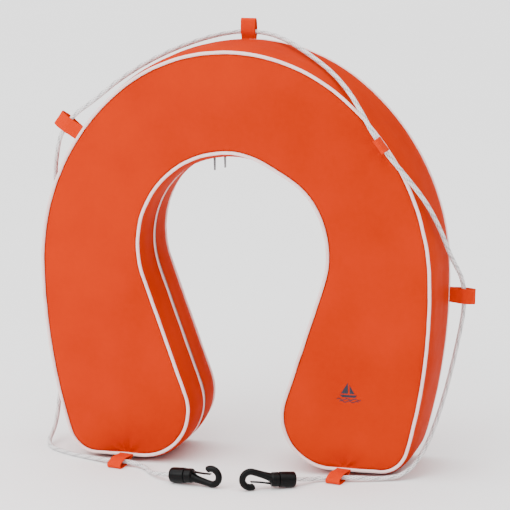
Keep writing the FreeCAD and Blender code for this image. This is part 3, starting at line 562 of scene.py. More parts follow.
ROPE_DIAMETER = 6.0 * MM
ROPE_ROUTE = [
    (-0.0538, -0.123, 0.0115), (-0.0828, -0.1178, 0.0091), (-0.104, -0.096, 0.0036),
    (-0.117, -0.077, 0.0038), (-0.138, -0.0678, 0.0068), (-0.171, -0.0656, 0.0065),
    (-0.203, -0.052, 0.0033), (-0.25, -0.034, 0.0032), (-0.2865, -0.008, 0.0034),
    (-0.287, 0.034, 0.02), (-0.29, 0.062, 0.066), (-0.2905, 0.072, 0.122),
    (-0.2905, 0.0755, 0.178), (-0.288, 0.073, 0.228), (-0.2875, 0.068, 0.288),
    (-0.277, 0.036, 0.344), (-0.26, -0.004, 0.394), (-0.246, -0.031, 0.424),
    (-0.235, -0.0454, 0.45), (-0.215, -0.0454, 0.477), (-0.188, -0.043, 0.495),
    (-0.151, -0.031, 0.5265), (-0.105, -0.008, 0.554), (-0.063, 0.033, 0.57),
    (-0.027, 0.0735, 0.5762), (0.016, 0.0735, 0.5762), (0.057, 0.038, 0.571),
    (0.095, 0.008, 0.5575), (0.131, -0.015, 0.5395), (0.1605, -0.038, 0.5175),
    (0.182, -0.056, 0.493), (0.2, -0.066, 0.466), (0.219, -0.066, 0.44),
    (0.241, -0.055, 0.41), (0.262, -0.035, 0.374), (0.274, -0.008, 0.334),
    (0.2805, 0.026, 0.29), (0.288, 0.073, 0.248), (0.2885, 0.073, 0.208),
    (0.282, 0.06, 0.164), (0.275, 0.036, 0.118), (0.267, 0.008, 0.076),
    (0.255, -0.02, 0.036), (0.234, -0.043, 0.008), (0.203, -0.053, 0.0033),
    (0.171, -0.066, 0.007), (0.136, -0.0684, 0.0055), (0.1165, -0.079, 0.0046),
    (0.1068, -0.0976, 0.0098), (0.0886, -0.108, 0.0115),
]
ROPE_STEP = 1.0 * MM
ROPE_SIDES = 28
STRANDS = 6
STRAND_PITCH = 7.0 * MM
STRAND_RELIEF = 0.40 * MM
TRACER_EVERY = 3  # strands
TRACER_EDGE = (0.2, 0.7)
# Edges of the painted shade in the braid's hollows.
HOLLOW_SHADE_EDGE = (-0.55, 0.3)


def rope_centreline():
    """Evenly spaced points of the route's own NURBS spline."""
    curve = bpy.data.curves.new("grab_line_route", "CURVE")
    curve.dimensions = "3D"
    spline = curve.splines.new("NURBS")
    spline.points.add(len(ROPE_ROUTE) - 1)
    for point, place in zip(spline.points, ROPE_ROUTE):
        point.co = (*place, 1.0)
    spline.order_u = 3
    spline.use_endpoint_u = True
    spline.resolution_u = 24
    holder = bpy.data.objects.new("grab_line_route", curve)
    mesh = bpy.data.meshes.new_from_object(holder)
    line = np.array([vertex.co for vertex in mesh.vertices], float)
    bpy.data.objects.remove(holder)
    bpy.data.curves.remove(curve)
    bpy.data.meshes.remove(mesh)
    along = moved_along(line)
    steps = np.linspace(0, along[-1], round(along[-1] / ROPE_STEP) + 1)
    return np.stack([np.interp(steps, along, line[:, axis]) for axis in range(3)], -1)


def braided_line(name, line):
    """Mesh of a hollow braid: strands wind both ways and cross over each other."""
    angles = around(ROPE_SIDES)
    twist = 2 * math.pi * moved_along(line)[:, None] / (STRANDS * STRAND_PITCH)
    right_hand = STRANDS * (angles + twist)
    right_crown = np.cos(right_hand)
    left_crown = np.cos(STRANDS * (angles - twist))
    crown = np.maximum(right_crown, left_crown)
    radius = ROPE_DIAMETER / 2 - STRAND_RELIEF * (1 - crown) / 2
    piece = swept(name, line, (0, 0, 1), radius * np.cos(angles), radius * np.sin(angles), ROPE)
    strand = np.floor(right_hand / (2 * math.pi) + 0.5) % TRACER_EVERY
    seen = (right_crown > left_crown) & (strand == 0)
    tracer = np.where(seen, smoothstep(right_crown, *TRACER_EDGE), 0.0)
    # Painted shade mask: the low places between strands, darkened in the rope's colour.
    hollow = smoothstep(-crown, *HOLLOW_SHADE_EDGE)
    for attribute, values in (("tracer", tracer), ("hollow", hollow)):
        layer = piece.data.attributes.new(attribute, "FLOAT", "POINT")
        layer.data.foreach_set("value", values.ravel())
    return piece


def make_grab_line():
    line = rope_centreline()
    rope = braided_line("grab_line_braid", line)
    settle(rope, "rope", "grab_line")


make_grab_line()

# ---- the horseshoe's outline

TOP_RADIUS = 239.0 * MM
SHOULDER_START = 148.3 * MM
SHOULDER_RADIUS = 314.0 * MM
SIDE_START = 260.0 * MM
SIDE_RADIUS = 799.0 * MM
CORNER_RADIUS = 39.4 * MM
FOOT_CENTRE = 133.2 * MM
FOOT_RADIUS = 67.3 * MM
ARCH_RADIUS = 131.2 * MM
ARCH_CENTRE = 290.9 * MM
SEAM_HEIGHT = 554.6 * MM
SEAM_CLEARANCE = 10.0 * MM
WALL_SWELL = 5.0 * MM
SOLE_SWELL = 5.0 * MM
OUTLINE_STEP = 3.0 * MM
GATHERS = (0.55 * MM, 11.0 * MM)
BROAD_GATHERS = (0.33 * MM, 26.0 * MM)
GATHER_REACH = 9.0 * MM

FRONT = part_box("front_panel")[0].y
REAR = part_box("rear_panel")[1].y
MID = (FRONT + REAR) / 2
DEPTH = REAR - FRONT


TOP_CENTRE = np.array([0.0, SEAM_HEIGHT - TOP_RADIUS])
SHOULDER_JOINT = 90 - math.degrees(math.asin(SHOULDER_START / TOP_RADIUS))
SHOULDER_CENTRE = polar(TOP_CENTRE, TOP_RADIUS - SHOULDER_RADIUS, SHOULDER_JOINT)
SIDE_JOINT = math.degrees(math.asin((SIDE_START - SHOULDER_CENTRE[1]) / SHOULDER_RADIUS))
SIDE_CENTRE = polar(SHOULDER_CENTRE, SHOULDER_RADIUS - SIDE_RADIUS, SIDE_JOINT)
CORNER_JOINT = math.degrees(math.asin((CORNER_RADIUS - SIDE_CENTRE[1]) / (SIDE_RADIUS - CORNER_RADIUS)))
CORNER_CENTRE = polar(SIDE_CENTRE, SIDE_RADIUS - CORNER_RADIUS, CORNER_JOINT)
FOOT_MIDDLE = np.array([FOOT_CENTRE, FOOT_RADIUS])
ARCH_MIDDLE = np.array([0.0, ARCH_CENTRE])
SPAN = FOOT_MIDDLE - ARCH_MIDDLE
FLANK_LEAN = math.degrees(math.atan2(SPAN[1], SPAN[0])
                          + math.acos((ARCH_RADIUS + FOOT_RADIUS) / np.linalg.norm(SPAN)))


def half_outline():
    """The seam's right half from the ring's top round the foot to the arch's top, with outward normals."""
    stretches = [
        (TOP_CENTRE, TOP_RADIUS, 90, SHOULDER_JOINT),
        (SHOULDER_CENTRE, SHOULDER_RADIUS, SHOULDER_JOINT, SIDE_JOINT),
        (SIDE_CENTRE, SIDE_RADIUS, SIDE_JOINT, CORNER_JOINT),
        (CORNER_CENTRE, CORNER_RADIUS, CORNER_JOINT, -90),
        (FOOT_MIDDLE, FOOT_RADIUS, -90, FLANK_LEAN - 180),
        (ARCH_MIDDLE, -ARCH_RADIUS, FLANK_LEAN, 90),
    ]
    places, normals = [], []
    for centre, radius, first, last in stretches:
        start = polar(centre, abs(radius), first)
        if places and np.linalg.norm(start - places[-1]) > OUTLINE_STEP:
            gap = start - places[-1]
            count = max(2, round(np.linalg.norm(gap) / OUTLINE_STEP))
            places += [places[-1] + gap * number / count for number in range(1, count)]
            normals += [normals[-1]] * (count - 1)
        count = max(2, round(abs(radius) * math.radians(abs(last - first)) / OUTLINE_STEP))
        for degrees in np.linspace(first, last, count, endpoint=False):
            direction = polar((0, 0), 1.0, degrees)
            places.append(centre + direction * abs(radius))
            normals.append(direction * math.copysign(1.0, radius))
    places.append(polar(ARCH_MIDDLE, ARCH_RADIUS, 90))
    normals.append(np.array([0.0, -1.0]))
    places = np.array(places) + [0.0, SEAM_CLEARANCE]
    return places, np.array(normals)


def closed_outline():
    """The whole seam, closed, clockwise as seen from the front, with normals and distances along it."""
    places, normals = half_outline()
    mirror = np.array([-1.0, 1.0])
    places = np.concatenate([places, (places * mirror)[-2:0:-1]])
    normals = np.concatenate([normals, (normals * mirror)[-2:0:-1]])
    return places, normals, moved_along(places)


SEAM, NORMALS, ALONG = closed_outline()


def swell(normals):
    """How far the wall stands out past the seam: more under the soles."""
    return WALL_SWELL + SOLE_SWELL * np.clip(-normals[..., 1], 0, 1) ** 4


def puckers(along, distance, seed):
    """Short gathers that run in from a seam and die away, in metres."""
    gathers = ripples(GATHERS, along, seed) + ripples(BROAD_GATHERS, along, seed + 7)
    return gathers * np.exp(-distance / GATHER_REACH)


ARCH_SAG = 5.5 * MM
SAG_ANGLE = 60.0
SAG_SPREAD = 18.0
SAG_REACH = 45.0 * MM
SAG_SHARE = 0.4  # of the depth, from the front


def sagged(flat, share):
    """Slack cover on the arch's right shoulder hangs into the opening along its front edge."""
    out = flat - (ARCH_MIDDLE + [0.0, SEAM_CLEARANCE])
    reach = np.linalg.norm(out, axis=-1)
    turn = np.degrees(np.arctan2(out[..., 1], out[..., 0])) - SAG_ANGLE
    near = np.exp(-(turn / SAG_SPREAD) ** 2 - ((reach - ARCH_RADIUS) / SAG_REACH) ** 2)
    return flat - out * (ARCH_SAG * near * (1 - smoothstep(share, 0.0, SAG_SHARE)) / reach)[..., None]


UPPER_ANGLE = 36.0
BOTTOM_LEFT_X = -155.0 * MM
BOTTOM_RIGHT_X = 150.5 * MM
PULLED_AT = [polar(SHOULDER_CENTRE, SHOULDER_RADIUS, UPPER_ANGLE) + [0.0, SEAM_CLEARANCE],
             np.array([BOTTOM_LEFT_X, SEAM_CLEARANCE]), np.array([BOTTOM_RIGHT_X, SEAM_CLEARANCE])]
PULL_DEPTH = 4.5 * MM
PULL_REACH = 24.0 * MM
PULL_FOLDS = 7
FOLD_HEIGHT = 2.6 * MM
FOLD_REACH = 17.0 * MM
FOLD_START = (3.0 * MM, 9.0 * MM)


def pulled(x, z):
    """Hollow and short folds where a loop is sewn into the front seam."""
    total = np.zeros(len(x))
    for place in PULLED_AT:
        reach = np.hypot(x - place[0], z - place[1])
        angle = np.arctan2(z - place[1], x - place[0])
        folds = np.cos(PULL_FOLDS * angle) * np.exp(-reach / FOLD_REACH) * smoothstep(reach, *FOLD_START)
        total += FOLD_HEIGHT * folds - PULL_DEPTH * np.exp(-(reach / PULL_REACH) ** 2)
    return total


# ---- cover panels

PANEL_SPACING = 5.0 * MM
EDGE_RINGS = [1.4 * MM, 2.1 * MM, 2.7 * MM, 3.4 * MM, 4.4 * MM, 6.0 * MM, 8.6 * MM, 12.0 * MM]
BANK = 2.0 * MM
PILLOW = 2.3 * MM
PILLOW_REACH = 16.0 * MM
BANK_EDGE = (1.8 * MM, 4.8 * MM)
SLACK_EDGE = (4.0 * MM, 40.0 * MM)
BROAD_WAVE = (1.5 * MM, 85.0 * MM)
SMALL_WAVE = (0.6 * MM, 30.0 * MM)
FOLDS_FULL_AT = 5.0 * MM
ON_SEAM = 0.2 * MM


def seam_distance(points):
    """Distance from each point to the seam, and the nearest seam point's number."""
    distance = np.empty(len(points))
    nearest = np.empty(len(points), int)
    for number, point in enumerate(points):
        gaps = np.linalg.norm(point - SEAM, axis=1)
        nearest[number] = gaps.argmin()
        distance[number] = gaps.min()
    return distance, nearest


def panel_points():
    """Rings along the seam, then an even field of points in the middle of the panel."""
    rings = [SEAM] + [SEAM - NORMALS * depth for depth in EDGE_RINGS]
    low, high = SEAM.min(0), SEAM.max(0)
    rows = np.arange(low[1], high[1], PANEL_SPACING * math.sqrt(3) / 2)
    shifts = PANEL_SPACING / 2 * (np.arange(len(rows)) % 2)
    field = np.array([(across, height) for height, shift in zip(rows, shifts)
                      for across in np.arange(low[0] + shift, high[0], PANEL_SPACING)])
    distance, nearest = seam_distance(field)
    inside = ((SEAM[nearest] - field) * NORMALS[nearest]).sum(1) > 0
    field = field[inside & (distance > EDGE_RINGS[-1] + 0.7 * PANEL_SPACING)]
    return np.concatenate(rings + [field])


def make_panel(name, node, face, outward, seed):
    """Fabric over a flat foam face: it drops to the seam at its edge and is gathered there."""
    points = panel_points()
    count = len(SEAM)
    border = [(number, (number + 1) % count) for number in range(count)]
    inside, nearness = 1, 1e-7
    flat, _, triangles, *_ = delaunay_2d_cdt([Vector(p) for p in points], border, [], inside, nearness)
    flat = np.array([tuple(point) for point in flat])
    distance, nearest = seam_distance(flat)
    x, z = flat[:, 0], flat[:, 1]
    crown = BANK * smoothstep(distance, *BANK_EDGE) + PILLOW * (1 - np.exp(-distance / PILLOW_REACH))
    uneven = waves(BROAD_WAVE, x, z, seed) + waves(SMALL_WAVE, x, z, seed + 3)
    rise = crown + smoothstep(distance, *SLACK_EDGE) * uneven + puckers(ALONG[nearest], distance, seed)
    if outward < 0:
        rise += pulled(x, z) * smoothstep(distance, 0, FOLDS_FULL_AT)
    rise[distance < ON_SEAM] = 0.0
    shaped = sagged(flat, (face - FRONT) / DEPTH)
    places = np.stack([shaped[:, 0], face + outward * rise, shaped[:, 1]], -1)
    if outward > 0:
        triangles = [tuple(reversed(triangle)) for triangle in triangles]
    panel = new_object(name, places, triangles, COVER, flat)
    settle(panel, "cover_fabric", node)
    return panel


front_fabric = make_panel("front_fabric", "front_panel", FRONT, -1, 1.0)
make_panel("rear_fabric", "rear_panel", REAR, 1, 5.0)

# ---- walls

WALL_ROWS = 44
SOLE = FOOT_MIDDLE - [0, FOOT_RADIUS - SEAM_CLEARANCE]
SPLIT = np.argmin(np.linalg.norm(SEAM - SOLE, axis=1))
OUTER = np.arange(-SPLIT, SPLIT + 1)
INNER = np.arange(SPLIT, len(SEAM) - SPLIT + 1)
ZIP_HALF = 6.0 * MM
ZIP_LOW = 52.0 * MM
ZIP_FADE = 9.0 * MM
ZIP_SHUT = 0.15 * MM
WALL_WAVE = (0.8 * MM, 70.0 * MM)
WALL_WAVE_TURN = 140.0 * MM  # over the wall's depth
WALL_WAVE_EDGE = (2.0 * MM, 30.0 * MM)
WALL_EDGE = 3.0 * MM
HEM_TUCK = 0.9 * MM
HEM_DEPTH = 2.4 * MM


def wall_offset(shares, numbers, seed):
    """How far the wall stands out at a share of its depth, full in the middle and nil at the seams."""
    fullness = 1 - np.abs(2 * shares - 1) ** 5
    edge = np.minimum(shares, 1 - shares) * DEPTH
    along = ALONG[numbers][:, None]
    uneven = waves(WALL_WAVE, along, shares * WALL_WAVE_TURN, seed) * smoothstep(edge, *WALL_WAVE_EDGE)
    uneven = uneven + puckers(np.broadcast_to(along, edge.shape), edge, seed)
    return swell(NORMALS[numbers])[:, None] * fullness + uneven * smoothstep(edge, 0, WALL_EDGE)


def wall_piece(name, node, numbers, shares, offsets, flip=False):
    """Strip of cover along the wall, which never goes below the floor."""
    places = SEAM[numbers][:, None, :] + NORMALS[numbers][:, None, :] * offsets[:, :, None]
    places = sagged(places, shares)
    places[..., 1] = np.maximum(places[..., 1], 0.0)
    depth = FRONT + shares * DEPTH
    points = np.stack([places[..., 0], depth, places[..., 1]], -1).reshape(-1, 3)
    uv = np.stack(np.broadcast_arrays(ALONG[numbers][:, None], depth), -1).reshape(-1, 2)
    wall = new_object(name, points, grid_faces(*shares.shape, flip=flip), COVER, uv)
    settle(wall, "cover_fabric", node)


def make_outer_wall():
    lines = (1 - np.cos(np.linspace(0, math.pi, WALL_ROWS))) / 2
    shares = np.broadcast_to(lines, (len(OUTER), WALL_ROWS))
    wall_piece("outer_fabric", "outer_gusset", OUTER, shares, wall_offset(shares, OUTER, 11.0))


def zip_half(numbers):
    """Half the slot's height at each seam point: shut below the zip's ends."""
    return ZIP_HALF * smoothstep(SEAM[numbers][:, 1], ZIP_LOW - ZIP_FADE, ZIP_LOW) + ZIP_SHUT


def make_inner_wall(side, sign):
    """Half the inner wall, with a hem that rolls in at the zip."""
    slot = zip_half(INNER)[:, None]
    start = 0.0 if sign < 0 else 1.0
    lines = 1 - np.cos(np.linspace(0, math.pi / 2, WALL_ROWS // 2 + 4))
    shares = start + ((MID + sign * slot - FRONT) / DEPTH - start) * lines
    offsets = wall_offset(shares, INNER, 17.0 + 3 * sign)
    hem = np.array([0.25, 0.5, 0.8, 1.0]) * math.pi / 2
    hem_shares = shares[:, -1:] - sign * HEM_TUCK / DEPTH * np.sin(hem)
    hem_offsets = offsets[:, -1:] - HEM_DEPTH * (1 - np.cos(hem)) * slot / ZIP_HALF
    shares = np.concatenate([shares, hem_shares], 1)
    offsets = np.concatenate([offsets, hem_offsets], 1)
    wall_piece(f"inner_fabric_{side}", "inner_gusset", INNER, shares, offsets, flip=sign > 0)


make_outer_wall()
make_inner_wall("front", -1)
make_inner_wall("rear", 1)

# ---- piping

PIPING_RADIUS = 2.2 * MM
ZIP_PIPING_RADIUS = 1.0 * MM
ZIP_PIPING_OFFSET = 7.4 * MM
ZIP_PIPING_END = 14.0 * MM
PIPING_OVERLAP = 0.3 * MM
BEAD_WANDER = (0.45 * MM, 24.0 * MM)
BEAD_WEAVE = (0.35 * MM, 30.0 * MM)
BEAD_GIRTH = (0.06, 7.0 * MM)  # height as a share of the radius


def make_piping(node, numbers, out, depth, radius, seed, closed):
    """Soft bead that wanders a little and varies a little in girth."""
    along = ALONG[numbers]
    wander = out + ripples(BEAD_WANDER, along, seed)
    flat = sagged(SEAM[numbers] + NORMALS[numbers] * wander[:, None], (depth - FRONT) / DEPTH)
    line = np.stack([flat[:, 0], depth + ripples(BEAD_WEAVE, along, seed + 2), flat[:, 1]], -1)
    girth = radius * (1 + ripples(BEAD_GIRTH, along, seed + 4))
    bead = tube(f"{node}_bead", line, np.stack([girth, girth], -1), 14, (0, 1, 0), PIPING, closed=closed)
    settle(bead, "piping_vinyl", node)


ROUND_THE_SEAM = np.arange(len(SEAM))
BESIDE_ZIP = INNER[SEAM[INNER][:, 1] > ZIP_PIPING_END]
STANDS_OFF = PIPING_RADIUS - PIPING_OVERLAP
make_piping("front_piping", ROUND_THE_SEAM, 0.0, FRONT - STANDS_OFF, PIPING_RADIUS, 21.0, True)
make_piping("rear_piping", ROUND_THE_SEAM, 0.0, REAR + STANDS_OFF, PIPING_RADIUS, 27.0, True)
make_piping("zip_piping", BESIDE_ZIP, WALL_SWELL + ZIP_PIPING_RADIUS, MID - ZIP_PIPING_OFFSET,
            ZIP_PIPING_RADIUS, 33.0, False)

# ---- zip

COIL_PITCH = 1.5 * MM
COIL_GAP = 0.15 * MM
COIL_WIDTH = 2.4 * MM
COIL_RISE = 0.85 * MM
COIL_SINK = 0.6 * MM
COIL_NOSE = 0.5 * MM
TURN_LENGTH = 1.15 * MM
TURN_PROFILE = [(0.0, -0.5), (0.5625, -0.5), (1.0, -0.25), (1.0, 0.25), (0.5625, 0.5), (0.0, 0.5)]
TAPE_INSET = 1.3 * MM
TAPE_HIDDEN = 0.6 * MM
TAPE_THICKNESS = 0.7 * MM
TAPE_STEP = 3.0 * MM
TAPE_RIPPLE = (0.15 * MM, 12.0 * MM)


def zip_line(step):
    """Evenly spaced distances, places and normals along the wall between the zip's ends."""
    zipped = INNER[SEAM[INNER][:, 1] > ZIP_LOW]
    along = ALONG[zipped]
    stations = np.arange(along[0], along[-1], step)
    places = np.stack([np.interp(stations, along, SEAM[zipped][:, axis]) for axis in range(2)], -1)
    normals = np.stack([np.interp(stations, along, NORMALS[zipped][:, axis]) for axis in range(2)], -1)
    normals /= np.linalg.norm(normals, axis=1)[:, None]
    return stations, places, normals


def make_tape(side, sign, material):
    """Woven tape under the slot's hem."""
    stations, places, normals = zip_line(TAPE_STEP)
    across = np.linspace(COIL_GAP, ZIP_HALF + TAPE_HIDDEN, 5)
    offset = WALL_SWELL - TAPE_INSET + ripples(TAPE_RIPPLE, stations, sign)
    flat = places + normals * offset[:, None]
    points = [(x, MID + sign * distance, z) for x, z in flat for distance in across]
    uv = [(station, distance) for station in stations for distance in across]
    faces = grid_faces(len(stations), len(across), flip=sign > 0)
    tape = new_object(f"zip_tape_cloth_{side}", points, faces, material, uv)
    thickness = tape.modifiers.new("thickness", "SOLIDIFY")
    thickness.thickness = TAPE_THICKNESS
    thickness.offset = 1.0
    settle(tape, "zip_tape", f"zip_tape_{side}")


def make_coil(side, sign, material):
    """Coil's turns, one small rounded block each, offset by half a pitch from the other side's."""
    shift = 0.0 if sign < 0 else COIL_PITCH / 2
    size = len(TURN_PROFILE)
    sections = ((COIL_GAP, 0.55), (COIL_GAP + COIL_NOSE, 1.0), (COIL_GAP + COIL_WIDTH, 0.9))
    turn = grid_faces(len(sections), size, close_columns=True, flip=sign > 0)
    turn += [tuple(range(size)), tuple(range(2 * size, 3 * size))]
    points, faces = [], []
    for _, place, normal in zip(*zip_line(COIL_PITCH)):
        tangent = np.array([normal[1], -normal[0]])
        faces += shifted(turn, len(points))
        for depth, scale in sections:
            for rise, along in TURN_PROFILE:
                height = WALL_SWELL - COIL_SINK + (COIL_SINK + COIL_RISE) * rise * scale
                x, z = place + normal * height + tangent * (along * TURN_LENGTH + shift)
                points.append((x, MID + sign * depth, z))
    coil = new_object(f"zip_coil_{side}", points, faces, material, smooth=False)
    settle(coil, "zip_coil", f"zip_teeth_{side}")


# The front tape and coil take the zip's own pale colour, the rear ones a copy of it painted in shade.
for side, sign, material in (("front", -1, ZIP_WHITE), ("rear", 1, ZIP_PAINTED_SHADE)):
    make_tape(side, sign, material)
    make_coil(side, sign, material)

# ---- webbing loops

WEBBING_WIDTH = 20.5 * MM
WEBBING_DEPTH = 1.4 * MM
LOOP_BASE_HALF = 1.7 * MM
LOOP_ROPE_HALF = 5.9 * MM
LOOP_TIP_HALF = 3.8 * MM
LOOP_LENGTH = 34.0 * MM
LOOP_STATION = 18.0 * MM
TOP_LOOP_LENGTH = 27.0 * MM
TOP_LOOP_STATION = 8.5 * MM
LOOP_SEAT = 3.2 * MM
SEWN_IN = 3.0 * MM
STRAP_CURL = 0.2 * MM
STRAP_SWAY = 0.6 * MM
STRAP_FRAY = 0.25 * MM
STRAP_SHARE = 0.86  # of the webbing's depth
MIDDLE_HEIGHT = 228.0 * MM
TOP_LOOP_X = -5.5 * MM
BOTTOM_DROOP = math.radians(11.5)
BOTTOM_LEAN = math.radians(10.5)
UPPER_RIGHT_LIFT = math.radians(8.0)
FRONT_SEAM = FRONT - PIPING_RADIUS
REAR_SEAM = REAR + PIPING_RADIUS
REARWARD = Vector((0, 1, 0))
UPWARD = Vector((0, 0, 1))
ACROSS = Vector((1, 0, 0))


def strap_path(length, station):
    """Middle line of a folded strap's section, from one sewn end over the tip to the other."""
    half = WEBBING_DEPTH / 2
    knots = np.array([
        (-SEWN_IN, LOOP_BASE_HALF - half), (0.0, LOOP_BASE_HALF - half),
        (station * 0.55, (LOOP_BASE_HALF + LOOP_ROPE_HALF) / 2 - half * 0.6),
        (station, LOOP_ROPE_HALF - half), ((station + length) / 2, LOOP_ROPE_HALF * 0.86 - half),
        (length - LOOP_TIP_HALF, LOOP_TIP_HALF - half),
    ])
    steps = np.arange(5 * (len(knots) - 1)) / 5
    upper = np.stack([np.interp(steps, np.arange(len(knots)), knots[:, axis]) for axis in range(2)], -1)
    tip = [polar((length - LOOP_TIP_HALF, 0.0), LOOP_TIP_HALF - half, degrees)
           for degrees in np.linspace(90, -90, 15)]
    return np.concatenate([upper, tip, upper[::-1] * [1.0, -1.0]])


def smoothed(line):
    """A line with its corners eased, its ends kept."""
    for _ in range(3):
        line[1:-1] = (line[:-2] + 2 * line[1:-1] + line[2:]) / 4
    return line


def make_loop(name, base, out, wide, seed, length=LOOP_LENGTH, station=LOOP_STATION):
    """Folded strap that stands out along one direction and is wide along another."""
    gap = out.cross(wide)
    line = smoothed(strap_path(length, station))
    columns = np.linspace(-0.5, 0.5, 12)
    points, uv = [], []
    for (reach, rise), distance in zip(line, moved_along(line)):
        free = min(max(reach / length, 0.0), 1.0)
        for column in columns:
            curl = STRAP_CURL * free * math.cos(2 * math.pi * column) * math.copysign(1, rise)
            sway = STRAP_SWAY * free * noise.noise(Vector((distance / 0.012, column * 1.5, seed)))
            fray = STRAP_FRAY * noise.noise(Vector((distance / 0.004, seed, column)))
            place = base + out * reach + wide * (column * WEBBING_WIDTH + fray) + gap * (rise - curl + sway)
            place.z = max(place.z, WEBBING_DEPTH / 2)
            points.append(place)
            uv.append((distance, column * WEBBING_WIDTH))
    faces = grid_faces(len(line), len(columns))
    strap = new_object(name.replace("loop", "strap"), points, faces, WEBBING, uv)
    thickness = strap.modifiers.new("thickness", "SOLIDIFY")
    thickness.thickness = WEBBING_DEPTH * STRAP_SHARE
    thickness.offset = 0.0
    rounding = strap.modifiers.new("rounding", "BEVEL")
    rounding.width = 0.3 * MM
    rounding.segments = 2
    rounding.limit_method = "ANGLE"
    settle(strap, "webbing", name)


def on_outline(centre, radius, degrees, depth):
    """A loop's base: past a stretch of the seam, at one depth."""
    x, z = polar(centre, radius + LOOP_SEAT, degrees)
    return Vector((x, depth, z + SEAM_CLEARANCE))


def turned(degrees):
    x, z = polar((0, 0), 1, degrees)
    return Vector((x, 0, z))


def flipped(vector):
    return Vector((-vector.x, vector.y, vector.z))


def make_loops():
    top = Vector((TOP_LOOP_X, REAR_SEAM, SEAM_HEIGHT + SEAM_CLEARANCE + LOOP_SEAT))
    make_loop("loop_top", top, UPWARD, ACROSS, 1.0, TOP_LOOP_LENGTH, TOP_LOOP_STATION)
    outward = turned(UPPER_ANGLE)
    right = on_outline(SHOULDER_CENTRE, SHOULDER_RADIUS, UPPER_ANGLE, FRONT_SEAM)
    left_out = flipped(outward)
    make_loop("loop_upper_left", flipped(right), left_out, left_out.cross(REARWARD), 2.0)
    forward = outward * math.sin(UPPER_RIGHT_LIFT) - REARWARD * math.cos(UPPER_RIGHT_LIFT)
    folded = right - (outward + REARWARD) * LOOP_SEAT
    make_loop("loop_upper_right", folded, forward, outward.cross(REARWARD), 3.0)
    tilt = math.degrees(math.asin((MIDDLE_HEIGHT - SEAM_CLEARANCE - SIDE_CENTRE[1]) / SIDE_RADIUS))
    side_out = turned(tilt)
    side_base = on_outline(SIDE_CENTRE, SIDE_RADIUS, tilt, REAR_SEAM)
    leant = Matrix.Rotation(-BOTTOM_LEAN, 3, UPWARD)
    down = leant @ (-REARWARD * math.cos(BOTTOM_DROOP) - UPWARD * math.sin(BOTTOM_DROOP))
    foot_y = FRONT_SEAM - LOOP_SEAT - WEBBING_WIDTH / 2 * math.sin(BOTTOM_LEAN)
    right_foot = Vector((BOTTOM_RIGHT_X, foot_y, SEAM_CLEARANCE))
    left_foot = Vector((BOTTOM_LEFT_X, foot_y, SEAM_CLEARANCE))
    make_loop("loop_middle_right", side_base, side_out, side_out.cross(REARWARD), 4.0)
    make_loop("loop_bottom_right", right_foot, down, leant @ ACROSS, 5.0)
    left_side = flipped(side_out)
    make_loop("loop_middle_left", flipped(side_base), left_side, left_side.cross(REARWARD), 6.0)
    make_loop("loop_bottom_left", left_foot, down, leant @ ACROSS, 7.0)


make_loops()

# ---- foam, sliders and small CAD parts

FOAM_SQUEEZE = 3.0 * MM  # how far the cover draws the foam in


def make_foam(side):
    """Foam slab with the CAD slab's outline, drawn in so that it stays under the cover."""
    slab = NODES[f"foam_slab_{side}"].data
    faces = [tuple(face.vertices) for face in slab.polygons]
    foam = new_object(f"foam_core_{side}", [vertex.co for vertex in slab.vertices], faces, FOAM, smooth=False)
    foam.modifiers.new("joined", "WELD").merge_threshold = 0.05 * MM
    squeeze = foam.modifiers.new("squeeze", "DISPLACE")
    squeeze.mid_level = 0.0
    squeeze.strength = -FOAM_SQUEEZE
    settle(foam, "foam", f"foam_slab_{side}")


def dress(material, *names):
    """Gives CAD nodes that keep their shape a finished material."""
    for name in names:
        for slot in NODES[name].material_slots:
            slot.material = material


for side in ("left", "right"):
    dress(METAL, f"zip_slider_{side}", f"zip_pull_{side}")
    dress(COVER, f"zip_stop_{side}")
for side in ("front", "rear"):
    make_foam(side)

# ---- printed emblem

EMBLEM_X = 159.0 * MM
EMBLEM_Z = 117.0 * MM
EMBLEM_LIFT = 0.12 * MM
WELL_AHEAD = 50.0 * MM
INK_COLUMNS = 6


def ribbon(half, drop, waves, height=1.0, thickness=1.3, count=40):
    """Wavy band, as rows of point pairs."""
    across = np.linspace(-half, half, count)
    middle = drop + height * np.sin(np.linspace(0, 2 * math.pi * waves, count))
    return [[(x, z - thickness / 2), (x, z + thickness / 2)] for x, z in zip(across, middle)]


def make_emblem():
    """Generic mark of a small sailing boat on two waves, printed on the front panel."""
    surface = BVHTree.FromPolygons([vertex.co for vertex in front_fabric.data.vertices],
                                   [tuple(face.vertices) for face in front_fabric.data.polygons])
    shapes = [  # millimetres from the emblem's middle: two sails, the hull and two waves
        np.linspace([(-1.0, -1.5), (-11.0, -1.5)], [(-1.0, 14.0), (-1.0, 14.0)], 14),
        np.linspace([(1.0, -1.5), (8.0, -1.5)], [(1.0, 10.5), (1.0, 10.5)], 14),
        np.linspace([(-12.5, -3.0), (11.5, -3.0)], [(-9.5, -6.5), (8.5, -6.5)], 6),
        ribbon(16.5, -9.2, 3),
        ribbon(13.0, -12.2, 2.5),
    ]
    points, faces = [], []
    for rows in shapes:
        faces += shifted(grid_faces(len(rows), INK_COLUMNS), len(points))
        for left, right in rows:
            for x, z in np.linspace(left, right, INK_COLUMNS):
                ahead = Vector((EMBLEM_X + x * MM, FRONT - WELL_AHEAD, EMBLEM_Z + z * MM))
                points.append(surface.ray_cast(ahead, REARWARD)[0] - REARWARD * EMBLEM_LIFT)
    settle(new_object("printed_emblem", points, faces, INK), "cover_fabric")


make_emblem()

# ---- floor and light

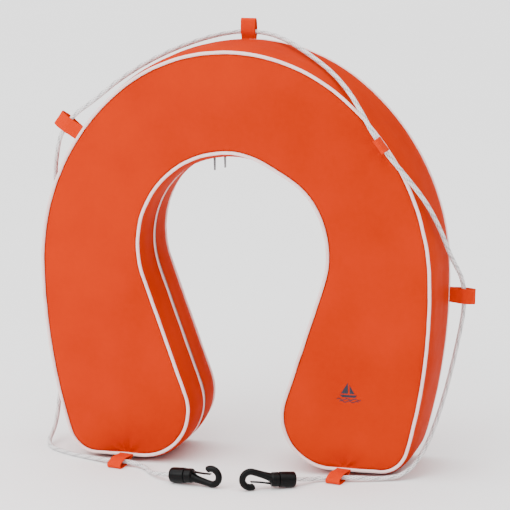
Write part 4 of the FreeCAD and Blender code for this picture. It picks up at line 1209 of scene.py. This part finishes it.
FLOOR_SIZE = 40.0
LIGHT_TARGET = Vector((0, 0, 0.28))
DOME_LOW = 0.45
DOME_HIGH = 4.4
BRIGHT_SIDE = (-0.70, -0.71, 0.0)
SIDE_LOW = 0.55
SIDE_HIGH = 1.45


def make_floor():
    shader = Shader("floor")
    colour = shader.mix(shader.patches(0.8, 2.0), (0.90, 0.90, 0.90), (0.93, 0.93, 0.93))
    material = shader.finish(colour, shader.patches(3.0, values=(0.75, 0.85)))
    half = FLOOR_SIZE / 2
    corners = [(-half, -half, 0), (half, -half, 0), (half, half, 0), (-half, half, 0)]
    new_object("floor", corners, [(0, 1, 2, 3)], material, smooth=False)


def area_light(name, place, size, power):
    data = bpy.data.lights.new(name, "AREA")
    data.shape = "DISK"
    data.size = size
    data.energy = power
    light = bpy.data.objects.new(name, data)
    bpy.context.collection.objects.link(light)
    light.location = place
    light.rotation_euler = (LIGHT_TARGET - Vector(place)).to_track_quat("-Z", "Y").to_euler()


def make_world():
    """A white dome, brightest overhead and on the front left."""
    world = bpy.data.worlds.new("world")
    world.use_nodes = True
    nodes = Nodes(world.node_tree)
    direction = nodes.coordinates("Generated")
    parts = nodes.fill(nodes.add("ShaderNodeSeparateXYZ"), Vector=direction)
    facing = nodes.add("ShaderNodeVectorMath", operation="DOT_PRODUCT")
    facing.inputs[1].default_value = BRIGHT_SIDE
    nodes.feed(facing.inputs[0], direction)
    rise = nodes.math("POWER", parts.outputs["Z"], 2.0, use_clamp=True)
    overhead = nodes.between(rise, 0.0, 1.0, DOME_LOW, DOME_HIGH)
    sided = nodes.between(facing.outputs["Value"], -1.0, 1.0, SIDE_LOW, SIDE_HIGH)
    nodes.fill(nodes.tree.nodes["Background"], Color=(1.0, 1.0, 1.0),
               Strength=nodes.math("MULTIPLY", overhead, sided))
    bpy.context.scene.world = world


make_floor()
make_world()
area_light("key", (-1.1, -1.5, 1.1), 1.2, 19.0)
area_light("fill", (2.4, -1.8, 1.2), 2.0, 3.0)
